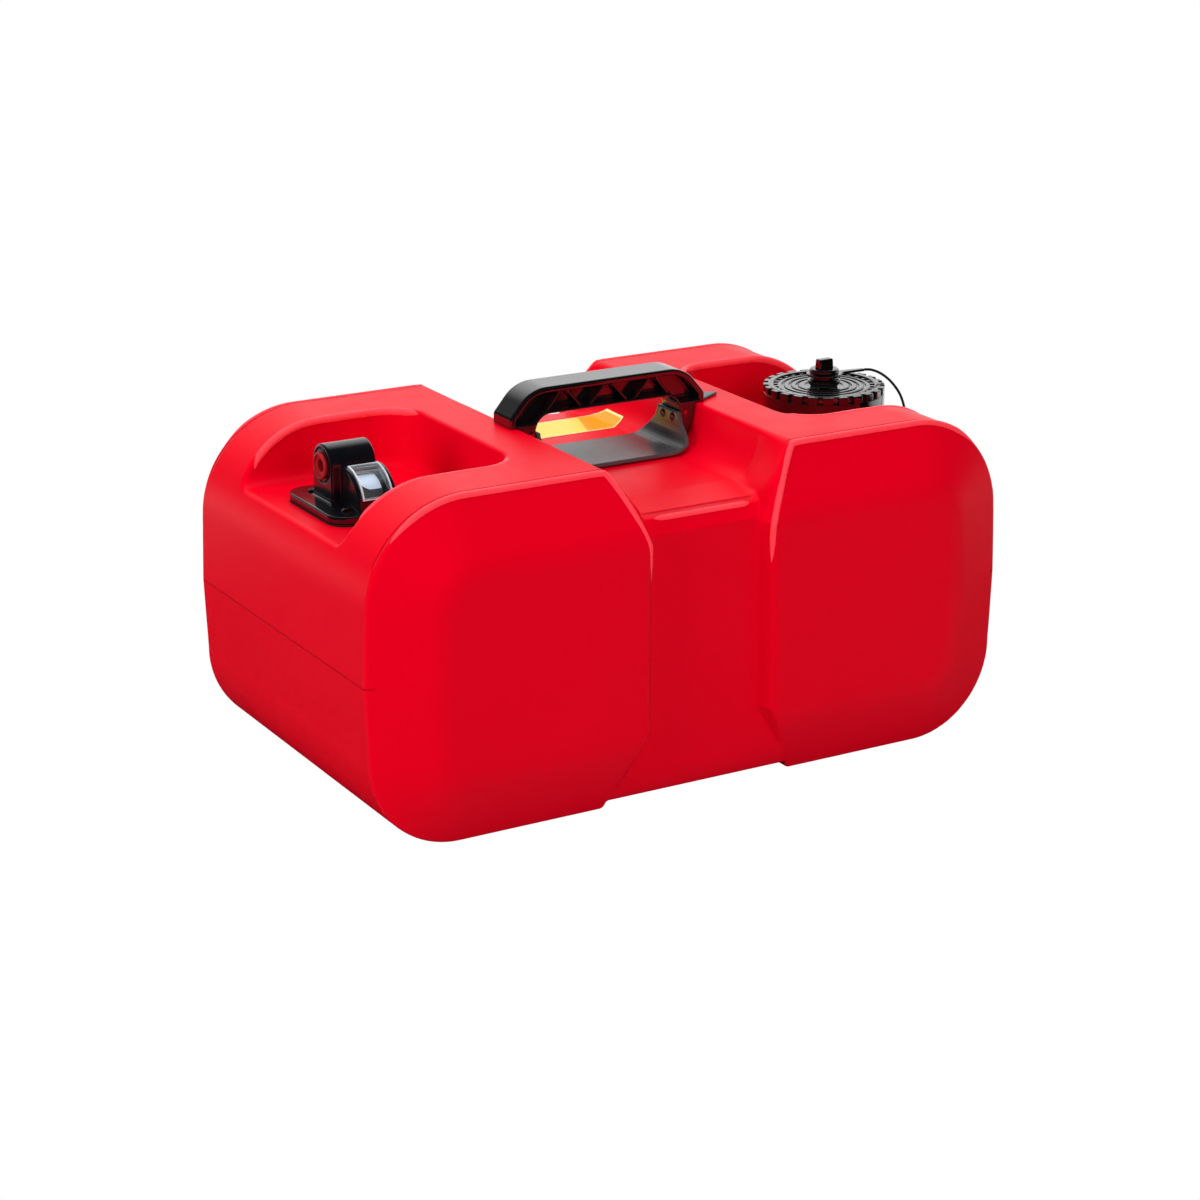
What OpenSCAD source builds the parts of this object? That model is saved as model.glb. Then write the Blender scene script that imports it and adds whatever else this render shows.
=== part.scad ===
// Portable outboard fuel tank with two lobes, a carrying handle over the waist,
// a float gauge with fuel outlet in one well and a vented filler cap in the other.
// Origin: on the ground under the tank's centre. X runs along the tank from the
// gauge end to the filler end, the front faces -Y and Z is up.

/* [Tank shell] */
// Overall length of the shell
tank_l = 540; // [520:1:560]
// Overall width of the shell, front to back
tank_w = 327; // [315:1:339]
// Height of the flat top of each lobe
deck_z = 260; // [254:1:268]
// Wall thickness of the shell
wall = 4; // [3:0.5:5]
// Corner radius of the front outline at the top
top_r = 79; // [70:1:84]
// Corner radius of the front outline at the bottom
bottom_r = 70; // [64:1:78]
// Width of the sloped band round each long face, from the outline inwards
band_h = 50; // [42:1:56]
// Setback of the band's outer crease behind the long face
band_in = 20; // [16:1:24]
// Height of the moulded pads that the tank stands on
pad_h = 3; // [2:0.5:5]
// Draft of the end faces, widest at the parting line
draft = 2; // [1:0.5:3]

/* [Waist and valley] */
// Half width of the valley between the deck edges
valley_half = 77; // [74:1:80]
// Height of the valley floor
valley_z = 226; // [222:1:230]
// Setback of the waist behind the lobes' long faces
waist_set = 13; // [9:1:15]
// Half width of the waist at mid height
waist_half = 46; // [42:1:50]
// Rise of the bottom between the lobes
waist_rise = 6; // [4:1:9]

/* [Wells] */
// Distance of both wells' centres from the ends of the tank
well_in = 65; // [62:1:70]
// Depth of the wells under the deck
well_depth = 44; // [40:1:46]
// Half width of the wells at deck height
well_half = 92; // [88:1:96]
// Distance from the well's centre to its inner wall at deck height
well_inner = 87; // [84:1:90]

/* [Filler and cap] */
// Outer diameter of the threaded filler neck
neck_d = 76; // [70:1:78]
// Inner diameter of the filler neck
neck_bore = 66; // [58:1:68]
// Outer diameter of the cap at its skirt
cap_d = 97; // [94:1:100]
// Height of the cap's rim over the well floor
cap_top = 40; // [38:1:43]
// Rise of the cap in one full turn of its thread
cap_pitch = 6; // [5:0.5:7]
// Turns that free the cap from the neck, each with a thread ridge
cap_turns = 3; // [2:1:3]
// Number of grip notches round the cap's rim
cap_notches = 24; // [16:2:28]

/* [Handle] */
// Width of the handle, front to back
handle_w = 28; // [26:1:30]
// Height of the top of the grip over the deck
handle_rise = 29; // [26:1:34]
// Thickness of the grip
grip_t = 21; // [18:1:22]
// Half width of the hand opening
grip_half = 63; // [60:1:64]
// Width of the strap on the valley floor
strap_w = 64; // [56:1:68]

/* [Gauge and outlet] */
// Length of the flange along the tank
flange_l = 76; // [74:1:80]
// Width of the flange across the tank
flange_w = 92; // [88:1:96]
// Diameter of the hole for the unit in the well floor
unit_hole = 51; // [50.5:0.5:52]
// Radius of the gauge drum
drum_r = 18; // [16:0.5:18]
// Length of the float arm from its axle to the float
arm_l = 138; // [130:1:140]
// Angle of the float arm under the horizontal when the tank is empty
arm_empty = 75; // [70:1:76]
// Radius of both cranks of the gauge linkage
crank_r = 8; // [7:0.5:8.5]
// Outer diameter of the pickup tube
pickup_d = 9; // [8:0.5:9.5]
// Bore of the fuel outlet port
outlet_bore = 12; // [10:0.5:13]

/* [Hidden] */
$fn = 48;

// Clearances
seat_gap = 0.2;     // between a fixed part and the shell that it lies on
thread_gap = 0.3;   // radial, between the neck and the cap
run_gap = 0.05;     // radial, between a pin and its bore

// Shell
half_l = tank_l / 2;
half_w = tank_w / 2;
parting_z = deck_z / 2;
well_x = half_l - well_in;
well_z = deck_z - well_depth;
handle_top = deck_z + handle_rise;
waist_y = half_w - waist_set;
mouth_l = 19;       // length of the valley's flared mouths
flare_l = 60;       // distance from the long faces to where the flare begins
mouth_drop = 4;     // fall of the valley floor to its mouths
well_corner = 30;   // plan radius of a well's inner corners
well_slope = 6;     // lean of a well's walls over its depth
well_fillet = 9;    // rounding at the foot of a well's walls
pad_x = half_l - 113;   // middle of a pad
unit_boss_h = 12;   // depth of the thick wall under the gauge flange
over = 20;          // how far cutting shapes run past the shell

crease_r = 3.5;     // rounding of the crease between the band and the middle of the tank

// Handle
shoulder_r = 40;
shoulder_x = 48;
shoulder_a = 40;    // slope of the legs' outer faces from the vertical
corner_r = 13;      // inner corners of the hand opening
leg_z = valley_z + 7;
flange_t = 4;
web_t = 5;
rib_t = 2.4;
rib_pitch = 39;
strap_t = 3.2;
screw_r = 2.5;
screw_boss_r = 7.5;
screw_boss_l = 15;
handle_screw_y = [-7, 7];
handle_screw_z = deck_z - 10;
screw_head_h = 2;
screw_l = 26;
foot_reach = 7.5;   // of the legs' feet over the deck
foot_t = 2.2;
tongue_l = 19.5;    // of the pointed tongue on the deck at the filler's side
strap_run = 19;     // of the strap's bends along the floor and up the legs
strap_lift = 15;
label_y = half_w - 75.5;
label_l = 130;      // along the valley's floor and up its walls
label_w = 44;
label_cut = [14, 9];    // cut off its corners
label_t = 0.4;

// Filler
neck_h = cap_top - 9;
cap_foot = 3;
cap_wall = 2.8;     // of the threaded ring and of the skirt round it
stem_r = 4;
tether_a = -6;      // heading of the tether's tab
tab_reach = 36;
tether_d = 2.4;
tether_foot = [45, -42, 0];
tether_route = [[36.2, -3.8, 47.6], [42, -6, 47], [48, -11, 44], [53, -18, 38],
    [56, -26, 29], [55, -34, 18], [50, -40, 10.5], [45.6, -41.7, 6.5], [45, -42, 3.5]];
knob_collar = 13;
knob_flange = 11.8;
knob_grip_l = 14.5;
knob_grip_w = 8;
knob_h = 20;        // over the cap's rim

// Gauge, measured from the well floor on the unit's axis
gasket_t = 1.5;
flange_h = 5.5;
flange_r = 16;      // plan radius of the flange's corners
flange_screw_in = 17;
hole_y = -8;        // middle of the hole in the well floor
spigot_h = 13;
spigot_t = 2.2;
drum_y = -10.5;     // drum's axis
drum_z = 6;
arm_z = -36;        // height of the float arm's axis
chamber_r = drum_r + 4;
bezel_r = 28;
lens_r = bezel_r + 1;
lens_t = 2.4;
lens_half = 12;
lens_a0 = 93;       // window, as angles about the drum's axis from +Y to +Z
lens_a1 = 162;
lens_ledge = 2;     // seat of the lens round the window
cheek_in = 12.5;    // bracket cheeks and bezel sides, from cheek_in to cheek_out
cheek_out = 15.5;
cheek_half = 7;
hood_x0 = -23;
hood_x1 = 13;
hood_y = 8;
hood_z = 32;
hood_r = 16;
pickup_x = -16.5;
pickup_y = 2;
pickup_bore = 3;    // radius
pickup_top = -9;
pickup_end = pad_h + 23 - well_z;
socket_t = 1.5;
filter_r = 8;
filter_h = 24;
pin_r = 2;
drum_x0 = 10;       // drum and hub reach from -drum_x0 to drum_side
drum_side = 7;
hub_r = 6;
crank_pin_r = 1.5;
eye_r = 3.4;
eye_play = 0.3;     // radial, in the link's upper eye
link_x0 = 8;
link_x1 = 10.5;
crank_a = 180 - arm_empty / 2;
wire_x = 3;
wire_r = 1.5;
float_l = 38;
float_r = 17;
plug_rim_r = 10.5;

// ---------------------------------------------------------------- helpers

function arc(cx, cy, r, a0, a1, n) =
    [for (i = [0:n]) let (a = a0 + (a1 - a0) * i / n) [cx + r * cos(a), cy + r * sin(a)]];

function bezier(p, q, s, n) =
    [for (i = [0:n]) let (t = i / n) p * (1 - t) * (1 - t) + q * 2 * t * (1 - t) + s * t * t];

// Closes a half outline over the axis that its first coordinate is measured from
function mirrored(half) =
    concat(half, [for (i = [len(half) - 1:-1:0]) [-half[i][0], half[i][1]]]);

function rounded_rect(l, w, r, n) = mirrored(concat(
    arc(l / 2 - r, -w / 2 + r, r, -90, 0, n), arc(l / 2 - r, w / 2 - r, r, 0, 90, n)));

// Solid through a stack of rings. Each ring is symmetric: its points i and n-1-i
// are mirror images, so its flat ends close as strips between the two halves.
module loft(rings) {
    n = len(rings[0]);
    last = (len(rings) - 1) * n;
    points = [for (ring = rings) each ring];
    sides = [for (k = [0:len(rings) - 2], i = [0:n - 1])
        let (a = k * n + i, b = k * n + (i + 1) % n) each [[a, b, b + n], [a, b + n, a + n]]];
    ends = [for (i = [0:n / 2 - 2]) let (j = n - 1 - i) each [
        [i, j, j - 1], [i, j - 1, i + 1],
        [last + i, last + j - 1, last + j], [last + i, last + i + 1, last + j - 1]]];
    polyhedron(points = points, faces = concat(sides, ends), convexity = 6);
}

// Ring of a half outline drawn in X and Z, placed at y
function ring_y(half, y) = [for (p = mirrored(half)) [p[0], y, p[1]]];
// Ring of a half outline drawn in Y and X, placed at z
function ring_z(half, z) = [for (p = mirrored(half)) [p[1], p[0], z]];

// Extrudes a profile drawn in X and Z to a width along Y, centred
module extrude_y(w) rotate([90, 0, 0]) linear_extrude(height = w, center = true) children();

// Extrudes a profile drawn in Y and Z along X, centred
module extrude_x(w)
    rotate([90, 0, 90]) linear_extrude(height = w, center = true) children();

module rod_x(r, l) rotate([0, 90, 0]) cylinder(r = r, h = l, center = true);

// ------------------------------------------------------------- tank shell

// Half of the body's front outline, drawn in by a
function body_half(a, n) =
    let (
        l = half_l - draft - a,
        low = pad_h + a,
        high = deck_z - a,
        rb = bottom_r - a,
        rt = top_r - a
    ) concat(
        arc(l - rb, low + rb, rb, -90, 0, n),
        [[l + draft, parting_z]],
        arc(l - rt, high - rt, rt, 0, 90, n));

// Profile of the band and its crease: distances in from the long face and from the outline
function band_profile() = concat([[0, band_h]], bezier([band_in - 2, 2 * band_h / band_in],
    [band_in, 0], [band_in + crease_r, 0], 3));

// Closed body without its hollows, drawn in by inset for the inside of the wall
module body(inset, n) {
    profile = band_profile();
    last = len(profile) - 1;
    loft(concat(
        [for (i = [0:last]) let (p = profile[i])
            ring_y(body_half(p[1] + inset, n), inset - half_w + p[0])],
        [for (i = [last:-1:0]) let (p = profile[i])
            ring_y(body_half(p[1] + inset, n), half_w - inset - p[0])]));
}

// Cross-section of the valley, from its middle (flare 0) to its mouths (flare 1)
function valley_wall(flare, grow) =
    let (
        floor_half = valley_half - 25 - 9 * flare,
        foot_x = valley_half - 2 - 23 * flare,
        z = valley_z - mouth_drop * flare - grow
    ) bezier([floor_half + grow, z], [foot_x + grow, z], [valley_half + grow, deck_z], 8);

// Cutting shape of the valley that runs across the tank under the handle
module valley(grow) {
    stations = [[-half_w - over, 1], [-half_w + mouth_l, 1], [-half_w + flare_l, 0.1],
        [-strap_w, 0], [strap_w, 0], [half_w - flare_l, 0.1], [half_w - mouth_l, 1],
        [half_w + over, 1]];
    loft([for (s = stations) ring_y(concat(
        valley_wall(s[1], grow), [[valley_half + grow + 2, deck_z + over]]), s[0])]);
}

// Half outline of the waist's recess, widened by e
function waist_outline(e) = [
    [waist_half + 52 + e, -over],
    [waist_half + e, 62],
    [waist_half + e, 206],
    [valley_half - 3 + e, deck_z + 2],
    [valley_half + 6 + e, deck_z + over]];

// Cutting shape that sets the waist back behind one long face
module waist_side(grow) {
    loft([
        ring_y(waist_outline(grow + 16), -half_w - over),
        ring_y(waist_outline(grow + 6), -half_w),
        ring_y(waist_outline(grow), grow - waist_y)]);
}

// Cutting shape that slopes the waist's top edge down to its long face
module waist_brow(grow) {
    steps = [[-1, 206], [6, valley_z - 7], [14, valley_z - 2]];
    loft([for (s = steps) ring_y([
        [waist_half + grow, s[1] - grow],
        [waist_half + 12 + grow, 238],
        [valley_half - 1 + grow, deck_z + 1],
        [valley_half + 2 + grow, deck_z + over]], grow + s[0] - waist_y)]);
}

// Both long faces of the waist, and the raised bottom between the lobes
module waist(grow) {
    for (turn = [0, 180]) rotate([0, 0, turn]) {
        waist_side(grow);
        waist_brow(grow);
    }
    base = pad_h + waist_rise + grow;
    extrude_y(tank_w + 2 * over)
        polygon([[-88 - grow, -over], [88 + grow, -over], [78 + grow, base], [-78 - grow, base]]);
}

// Half outline of a well, drawn in by inset: inner wall, round corner, open end
function well_half_outline(inset) =
    let (w = well_half - inset, x = well_inner - inset, r = well_corner - inset / 2)
    concat(arc(w - r, x - r, r, 90, 0, 6), [[w, -half_l + well_x - over]]);

// Cutting shape of a well about its own centre, its inner wall towards +X
module well(grow) {
    fillet = [for (a = [0:30:90])
        [well_slope + well_fillet * (1 - sin(a)), well_fillet * (1 - cos(a))]];
    steps = concat(fillet, [[0, well_depth], [-2, well_depth + over]]);
    loft([for (i = [len(steps) - 1:-1:0])
        ring_z(well_half_outline(steps[i][0] - grow), well_z + steps[i][1] - grow)]);
}

module wells(grow) {
    translate([-well_x, 0, 0]) well(grow);
    translate([well_x, 0, 0]) mirror([1, 0, 0]) well(grow);
}

module pads() {
    for (side = [-1, 1]) translate([side * pad_x, 0, 0])
        linear_extrude(height = pad_h + 1.5) polygon(rounded_rect(45, 250, 10, 4));
}

// Threaded neck, standing on the well floor
module neck() {
    cylinder(r = neck_d / 2 - 1, h = wall / 2 + neck_h);
    for (i = [1:cap_turns]) translate([0, 0, wall / 2 + neck_h + 2 - i * cap_pitch])
        rotate_extrude() polygon([[20, -1.6], [neck_d / 2 - 1, -1.6], [neck_d / 2, -0.6],
            [neck_d / 2, 0.6], [neck_d / 2 - 1, 1.6], [20, 1.6]]);
}

// Hollow of the tank. Thick walls stay round the handle's screws and under the gauge flange.
module cavity() difference() {
    body(wall, 5);
    valley(wall);
    waist(wall);
    wells(wall);
    translate([-well_x, 0, well_z - unit_boss_h]) linear_extrude(height = unit_boss_h)
        polygon(rounded_rect(flange_l + 2, flange_w + 2, flange_r, 4));
    for (side = [-1, 1], y = handle_screw_y)
        translate([side * valley_half, y, handle_screw_z]) rod_x(screw_boss_r, 2 * screw_boss_l);
}

module tank_shell() color("crimson") difference() {
    union() {
        difference() {
            body(0, 10);
            valley(0);
            waist(0);
            wells(0);
            cavity();
        }
        pads();
        translate([well_x, 0, well_z - wall / 2]) neck();
    }
    translate([well_x, 0, well_z - wall - 1]) cylinder(r = neck_bore / 2, h = neck_h + wall + 2);
    translate([-well_x, hole_y, well_z - unit_boss_h - 1])
        cylinder(r = unit_hole / 2, h = unit_boss_h + 2);
    at_flange_screws() translate([0, 0, -unit_boss_h + 1])
        cylinder(r = screw_r + run_gap, h = unit_boss_h);
    for (side = [-1, 1], y = handle_screw_y)
        translate([side * (valley_half + 1), y, handle_screw_z]) rod_x(screw_r + run_gap, 22);
    at_filler() translate(tether_foot) translate([0, 0, -3]) cylinder(r = 2.5, h = 4);
}

// --------------------------------------------------------- handle and strap

// Outer edge of the grip and its leg, drawn in by d
function grip_outer(d) =
    let (
        r = shoulder_r - d,
        x = shoulder_x + r * cos(shoulder_a),
        z = handle_top - shoulder_r + r * sin(shoulder_a),
        foot_x = valley_half + foot_reach - d
    ) concat(
        arc(shoulder_x, handle_top - shoulder_r, r, 90, shoulder_a, 6),
        [[foot_x, z - (foot_x - x) / tan(shoulder_a)], [foot_x, deck_z + seat_gap]]);

// Edge of the hand opening, set back by d
function grip_inner(d) =
    let (x = grip_half - corner_r, z = handle_top - grip_t - corner_r)
    concat(arc(x, z, corner_r + d, 90, 0, 6), [[grip_half + d, leg_z]]);

function reversed(list) = [for (i = [len(list) - 1:-1:0]) list[i]];

// Whole side view of the handle: outside, then the leg against the valley wall, then inside
function handle_outline() =
    let (side = [for (i = [8:-1:4]) valley_wall(0, -seat_gap)[i] - [0.1, 0]])
    mirrored(concat(grip_outer(0), [[side[0][0], deck_z + seat_gap]],
        [for (i = [1:4]) side[i]], reversed(grip_inner(0))));

// Slanted rib between two points of the side view
module rib(a, b) {
    d = (b - a) / norm(b - a) * rib_t / 2;
    polygon([a + [d[1], -d[0]], b + [d[1], -d[0]], b + [-d[1], d[0]], a + [-d[1], d[0]]]);
}

module handle_ribs() {
    low = handle_top - grip_t + flange_t / 2;
    high = handle_top - flange_t / 2;
    for (side = [-1, 1], ends = [[0, 0.5], [1, 0.5], [1, 1.5]])
        rib([side * ends[0] * rib_pitch, high], [side * ends[1] * rib_pitch, low]);
}

module handle() color([0.09, 0.09, 0.1]) difference() {
    union() {
        extrude_y(web_t) polygon(handle_outline());
        extrude_y(handle_w) polygon(mirrored(concat(grip_outer(0), reversed(grip_outer(flange_t)))));
        extrude_y(handle_w) polygon(mirrored(concat(grip_inner(0), reversed(grip_inner(flange_t)))));
        intersection() {
            extrude_y(handle_w) polygon(handle_outline());
            translate([-tank_l / 2, -handle_w, 0]) cube([tank_l, 2 * handle_w, deck_z + foot_t]);
        }
        extrude_y(handle_w - 3) handle_ribs();
        translate([valley_half + foot_reach - 2, 0, deck_z + seat_gap])
            linear_extrude(height = foot_t)
            polygon([[0, -handle_w / 2], [2 + tongue_l, 0], [0, handle_w / 2]]);
    }
    handle_screw_holes();
}

module handle_screw_holes() {
    for (side = [-1, 1], y = handle_screw_y)
        translate([side * grip_half, y, handle_screw_z]) rod_x(screw_r + run_gap, 40);
}

// Inner or outer face of the strap's side view
function strap_face(t) =
    let (x = grip_half - 0.1 - t, z = valley_z + seat_gap + t)
    concat(bezier([grip_half - strap_run, z], [x, z], [x, z + strap_lift], 8),
        [[x, handle_top - grip_t - corner_r]]);

module handle_strap() color([0.3, 0.3, 0.31]) difference() {
    intersection() {
        extrude_y(strap_w) polygon(mirrored(concat(strap_face(0), reversed(strap_face(strap_t)))));
        extrude_x(tank_l) polygon(mirrored([[strap_w / 2, 0], [strap_w / 2, valley_z + 11],
            [handle_w / 2 + 1, deck_z - 4], [handle_w / 2 + 1, deck_z + 8]]));
    }
    handle_screw_holes();
}

module handle_screws() color("silver") for (side = [0, 180], y = handle_screw_y)
    rotate([0, 0, side]) translate([grip_half - 0.1 - strap_t, y, handle_screw_z]) {
        rotate([0, -90, 0]) cylinder(r1 = 4.2, r2 = 3.2, h = screw_head_h);
        rotate([0, 90, 0]) cylinder(r = screw_r, h = screw_l);
    }

// Thin plate that follows the valley's floor and the foot of its walls
module blank_label() color("gold") intersection() {
    translate([0, label_y, valley_z - 1]) linear_extrude(height = deck_z - valley_z)
        polygon(mirrored([
            [label_l / 2 - label_cut[0], -label_w / 2], [label_l / 2, label_cut[1] - label_w / 2],
            [label_l / 2, label_w / 2 - label_cut[1]], [label_l / 2 - label_cut[0], label_w / 2]]));
    difference() {
        valley(0);
        valley(-label_t);
    }
}

// ----------------------------------------------------- filler cap and tether

// Everything here stands on the well floor, about the neck's axis
module at_filler() translate([well_x, 0, well_z]) children();

module fill_cap() color([0.06, 0.06, 0.06]) at_filler() difference() {
    bore = neck_d / 2 + thread_gap;
    union() {
        rotate_extrude($fn = 96) polygon([
            [stem_r + run_gap, cap_top - 16], [11, cap_top - 16], [11, cap_top - 6],
            [bore, cap_top - 6], [bore, cap_foot], [bore + cap_wall, cap_foot],
            [bore + cap_wall, cap_top - 9], [cap_d / 2 - cap_wall, cap_top - 9],
            [cap_d / 2 - cap_wall, cap_foot], [cap_d / 2, cap_foot], [cap_d / 2, cap_foot + 5],
            [cap_d / 2 - 1, cap_top - 1.5], [cap_d / 2 - 2.5, cap_top], [cap_d / 2 - 10, cap_top],
            [cap_d / 2 - 11, cap_top - 1.5], [stem_r + run_gap, cap_top - 1.5]]);
        for (r = [20, 25, 30]) translate([0, 0, cap_top - 2])
            rotate_extrude() polygon([[r, 0], [r + 1.2, 0], [r + 0.9, 1.3], [r + 0.3, 1.3]]);
    }
    for (i = [0:cap_notches - 1]) rotate([0, 0, 360 * i / cap_notches])
        translate([cap_d / 2 - 4, -2.2, cap_top - 5]) cube([10, 4.4, 10]);
    for (i = [0:3]) rotate([0, 0, 90 * i + 45]) translate([7.6, 0, cap_top - 17])
        cylinder(r = 1, h = 20, $fn = 24);
}

module cap_gasket() color([0.2, 0.2, 0.2]) at_filler() translate([0, 0, neck_h])
    rotate_extrude() translate([neck_bore / 2 + 0.3, 0]) square([3.6, cap_top - 6 - neck_h]);

// Washer that closes the vent holes
module vent_seal() color([0.25, 0.25, 0.25]) at_filler() translate([0, 0, cap_top - 1.5])
    rotate_extrude() translate([stem_r + 1, 0]) square([6, 2]);

module vent_knob() color([0.07, 0.07, 0.07]) at_filler() translate([0, 0, cap_top]) {
    // Captive foot, stem, collar, groove for the tether ring, upper flange
    rotate_extrude() polygon([[0, -20.5], [5.5, -20.5], [5.5, -18.3], [stem_r, -18.3],
        [stem_r, 0.5], [knob_collar, 0.5], [knob_collar, 3], [knob_collar - 1, 4], [9, 4],
        [9, 9.2], [knob_flange, 9.2], [knob_flange, 11.5], [knob_flange - 1, 12.5], [0, 12.5]]);
    translate([0, 0, 4]) linear_extrude(height = knob_h - 4)
        polygon(rounded_rect(knob_grip_l, knob_grip_w, 1.6, 3));
}

module tether_ring() color([0.1, 0.1, 0.1]) at_filler() translate([0, 0, cap_top + 6.6])
    difference() {
        union() {
            cylinder(r = 14, h = 2);
            rotate([0, 0, tether_a]) translate([10, -3.5, 0]) cube([tab_reach - 10, 7, 2]);
        }
        translate([0, 0, -1]) cylinder(r = 9.5, h = 4);
    }

// Catmull-Rom point between p1 and p2
function blend(p0, p1, p2, p3, t) =
    0.5 * (2 * p1 + (p2 - p0) * t + (2 * p0 - 5 * p1 + 4 * p2 - p3) * t * t
        + (3 * p1 - p0 - 3 * p2 + p3) * t * t * t);

function smooth(p, n) = let (m = len(p) - 1) concat(
    [for (i = [0:m - 1], k = [0:n - 1])
        blend(p[max(i - 1, 0)], p[i], p[i + 1], p[min(i + 2, m)], k / n)], [p[m]]);

// Round tube along a path that stays clear of the sideways direction
module tube(path, r, sides, sideways) {
    m = len(path) - 1;
    function ring(i) =
        let (
            t = path[min(i + 1, m)] - path[max(i - 1, 0)],
            u = cross(t, sideways) / norm(cross(t, sideways)),
            v = cross(u, t) / norm(t)
        ) [for (k = [0:sides - 1]) let (a = 360 * k / sides) path[i] + r * (u * cos(a) + v * sin(a))];
    points = [for (i = [0:m]) each ring(i)];
    walls = [for (i = [0:m - 1], k = [0:sides - 1])
        let (a = i * sides + k, b = i * sides + (k + 1) % sides)
        each [[a, b, b + sides], [a, b + sides, a + sides]]];
    caps = [[for (k = [sides - 1:-1:0]) k], [for (k = [0:sides - 1]) m * sides + k]];
    polyhedron(points = points, faces = concat(walls, caps), convexity = 4);
}

module tether_cord() color([0.12, 0.12, 0.12]) at_filler()
    tube(smooth(tether_route, 2), tether_d / 2, 8, [0.6, 0.8, 0]);

module tether_anchor() color([0.1, 0.1, 0.1]) at_filler() translate(tether_foot) {
    translate([0, 0, -2.8]) cylinder(r = 2.4, h = 4);
    cylinder(r1 = 5, r2 = 4.2, h = 3);
}

// ------------------------------------------------------------ gauge and outlet

// Everything here stands on the well floor, about the unit's axis
module at_unit() translate([-well_x, 0, well_z]) children();

module at_flange_screws() at_unit()
    for (x = [-1, 1], y = [-1, 1])
        translate([x * (flange_l / 2 - flange_screw_in), y * (flange_w / 2 - flange_screw_in), 0])
            children();

// Round bar along X about the drum's axis
module at_drum() translate([0, drum_y, drum_z]) children();

// Wedge of the window, in Y and Z about the drum's axis
module window_wedge(a0, a1, w) extrude_x(w)
    polygon([[0, 0], [60 * cos(a0), 60 * sin(a0)],
        [60 * cos((a0 + a1) / 2), 60 * sin((a0 + a1) / 2)], [60 * cos(a1), 60 * sin(a1)]]);

// Solid of the bezel or of the chamber in it, from a height over the well floor
module drum_space(r, half, z0) intersection() {
    at_drum() rod_x(r, 2 * half);
    translate([-flange_l / 2, -flange_w / 2, z0]) cube([flange_l, flange_w, 60]);
}

module bracket_cheeks() for (x = [-cheek_out, cheek_in])
    translate([x, drum_y - cheek_half, arm_z - cheek_half])
        cube([cheek_out - cheek_in, 2 * cheek_half, cheek_half - arm_z + 2]);

module pickup_socket() translate([pickup_x, pickup_y, 2 * pickup_top - 6])
    cylinder(r = pickup_d / 2 + socket_t, h = 6 - 2 * pickup_top + 3);

module gauge_housing() color([0.07, 0.07, 0.08]) difference() {
    at_unit() difference() {
        union() {
            translate([0, 0, gasket_t]) linear_extrude(height = flange_h)
                polygon(rounded_rect(flange_l, flange_w, flange_r, 6));
            drum_space(bezel_r, cheek_out, gasket_t + 1);
            translate([hood_x0, hood_y - hood_r, gasket_t + 1])
                cube([hood_x1 - hood_x0, 2 * hood_r, hood_z - gasket_t - 1]);
            translate([(hood_x0 + hood_x1) / 2, hood_y, hood_z]) rod_x(hood_r, hood_x1 - hood_x0);
            translate([0, hole_y, -spigot_h])
                cylinder(r = unit_hole / 2 - 0.5, h = spigot_h + gasket_t + 1);
            bracket_cheeks();
            pickup_socket();
        }
        // Drum chamber, its opening through the flange and the bore of the spigot
        drum_space(chamber_r, cheek_in, gasket_t + flange_h);
        translate([-cheek_in, drum_y - drum_r - 1, gasket_t])
            cube([2 * cheek_in, 2 * drum_r + 2, flange_h + 1]);
        difference() {
            translate([0, hole_y, -spigot_h - 1])
                cylinder(r = unit_hole / 2 - 0.5 - spigot_t, h = spigot_h + 1 + gasket_t + 0.1);
            bracket_cheeks();
            pickup_socket();
        }
        // Window and the rebate that its lens lies in
        at_drum() intersection() {
            rod_x(2 * bezel_r, 2 * (lens_half - lens_ledge));
            window_wedge(lens_a0 + 4, lens_a1 - 4, 60);
        }
        at_drum() intersection() {
            difference() {
                rod_x(2 * bezel_r, 2 * lens_half + 0.4);
                rod_x(lens_r - lens_t - 0.1, 60);
            }
            window_wedge(lens_a0 - 0.5, lens_a1 + 0.5, 60);
        }
        // Pin bores, outlet port, passage and socket of the pickup tube
        at_drum() rod_x(pin_r, 2 * cheek_out + 1);
        translate([0, drum_y, arm_z]) rod_x(pin_r, 4 * cheek_out);
        translate([hood_x0 - 1, hood_y, hood_z]) rotate([0, 90, 0])
            cylinder(r = outlet_bore / 2, h = 16);
        translate([pickup_x, pickup_y, pickup_top - 1]) cylinder(r = 2.5, h = hood_z - pickup_top);
        translate([pickup_x, pickup_y, pickup_top - 20]) cylinder(r = pickup_d / 2, h = 20);
    }
    at_flange_screws() cylinder(r = screw_r + seat_gap, h = 20);
}

module flange_gasket() color([0.15, 0.15, 0.15]) difference() {
    at_unit() linear_extrude(height = gasket_t)
        polygon(rounded_rect(flange_l, flange_w, flange_r, 6));
    at_unit() translate([0, hole_y, -1]) cylinder(r = unit_hole / 2, h = 5);
    at_flange_screws() translate([0, 0, -1]) cylinder(r = screw_r + seat_gap, h = 5);
}

module flange_screws() color("dimgray") at_flange_screws() {
    translate([0, 0, -unit_boss_h + 2]) cylinder(r = screw_r, h = unit_boss_h + gasket_t + flange_h);
    translate([0, 0, gasket_t + flange_h]) difference() {
        cylinder(r1 = 4.5, r2 = 3.6, h = 2.8);
        for (a = [0, 90]) rotate([0, 0, a]) translate([0, 0, 3]) cube([5, 1.1, 3], center = true);
    }
}

module gauge_lens() color([0.85, 0.9, 0.95]) at_unit() at_drum() intersection() {
    difference() {
        rod_x(lens_r, 2 * lens_half);
        rod_x(lens_r - lens_t, 60);
    }
    window_wedge(lens_a0, lens_a1, 60);
}

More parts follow.
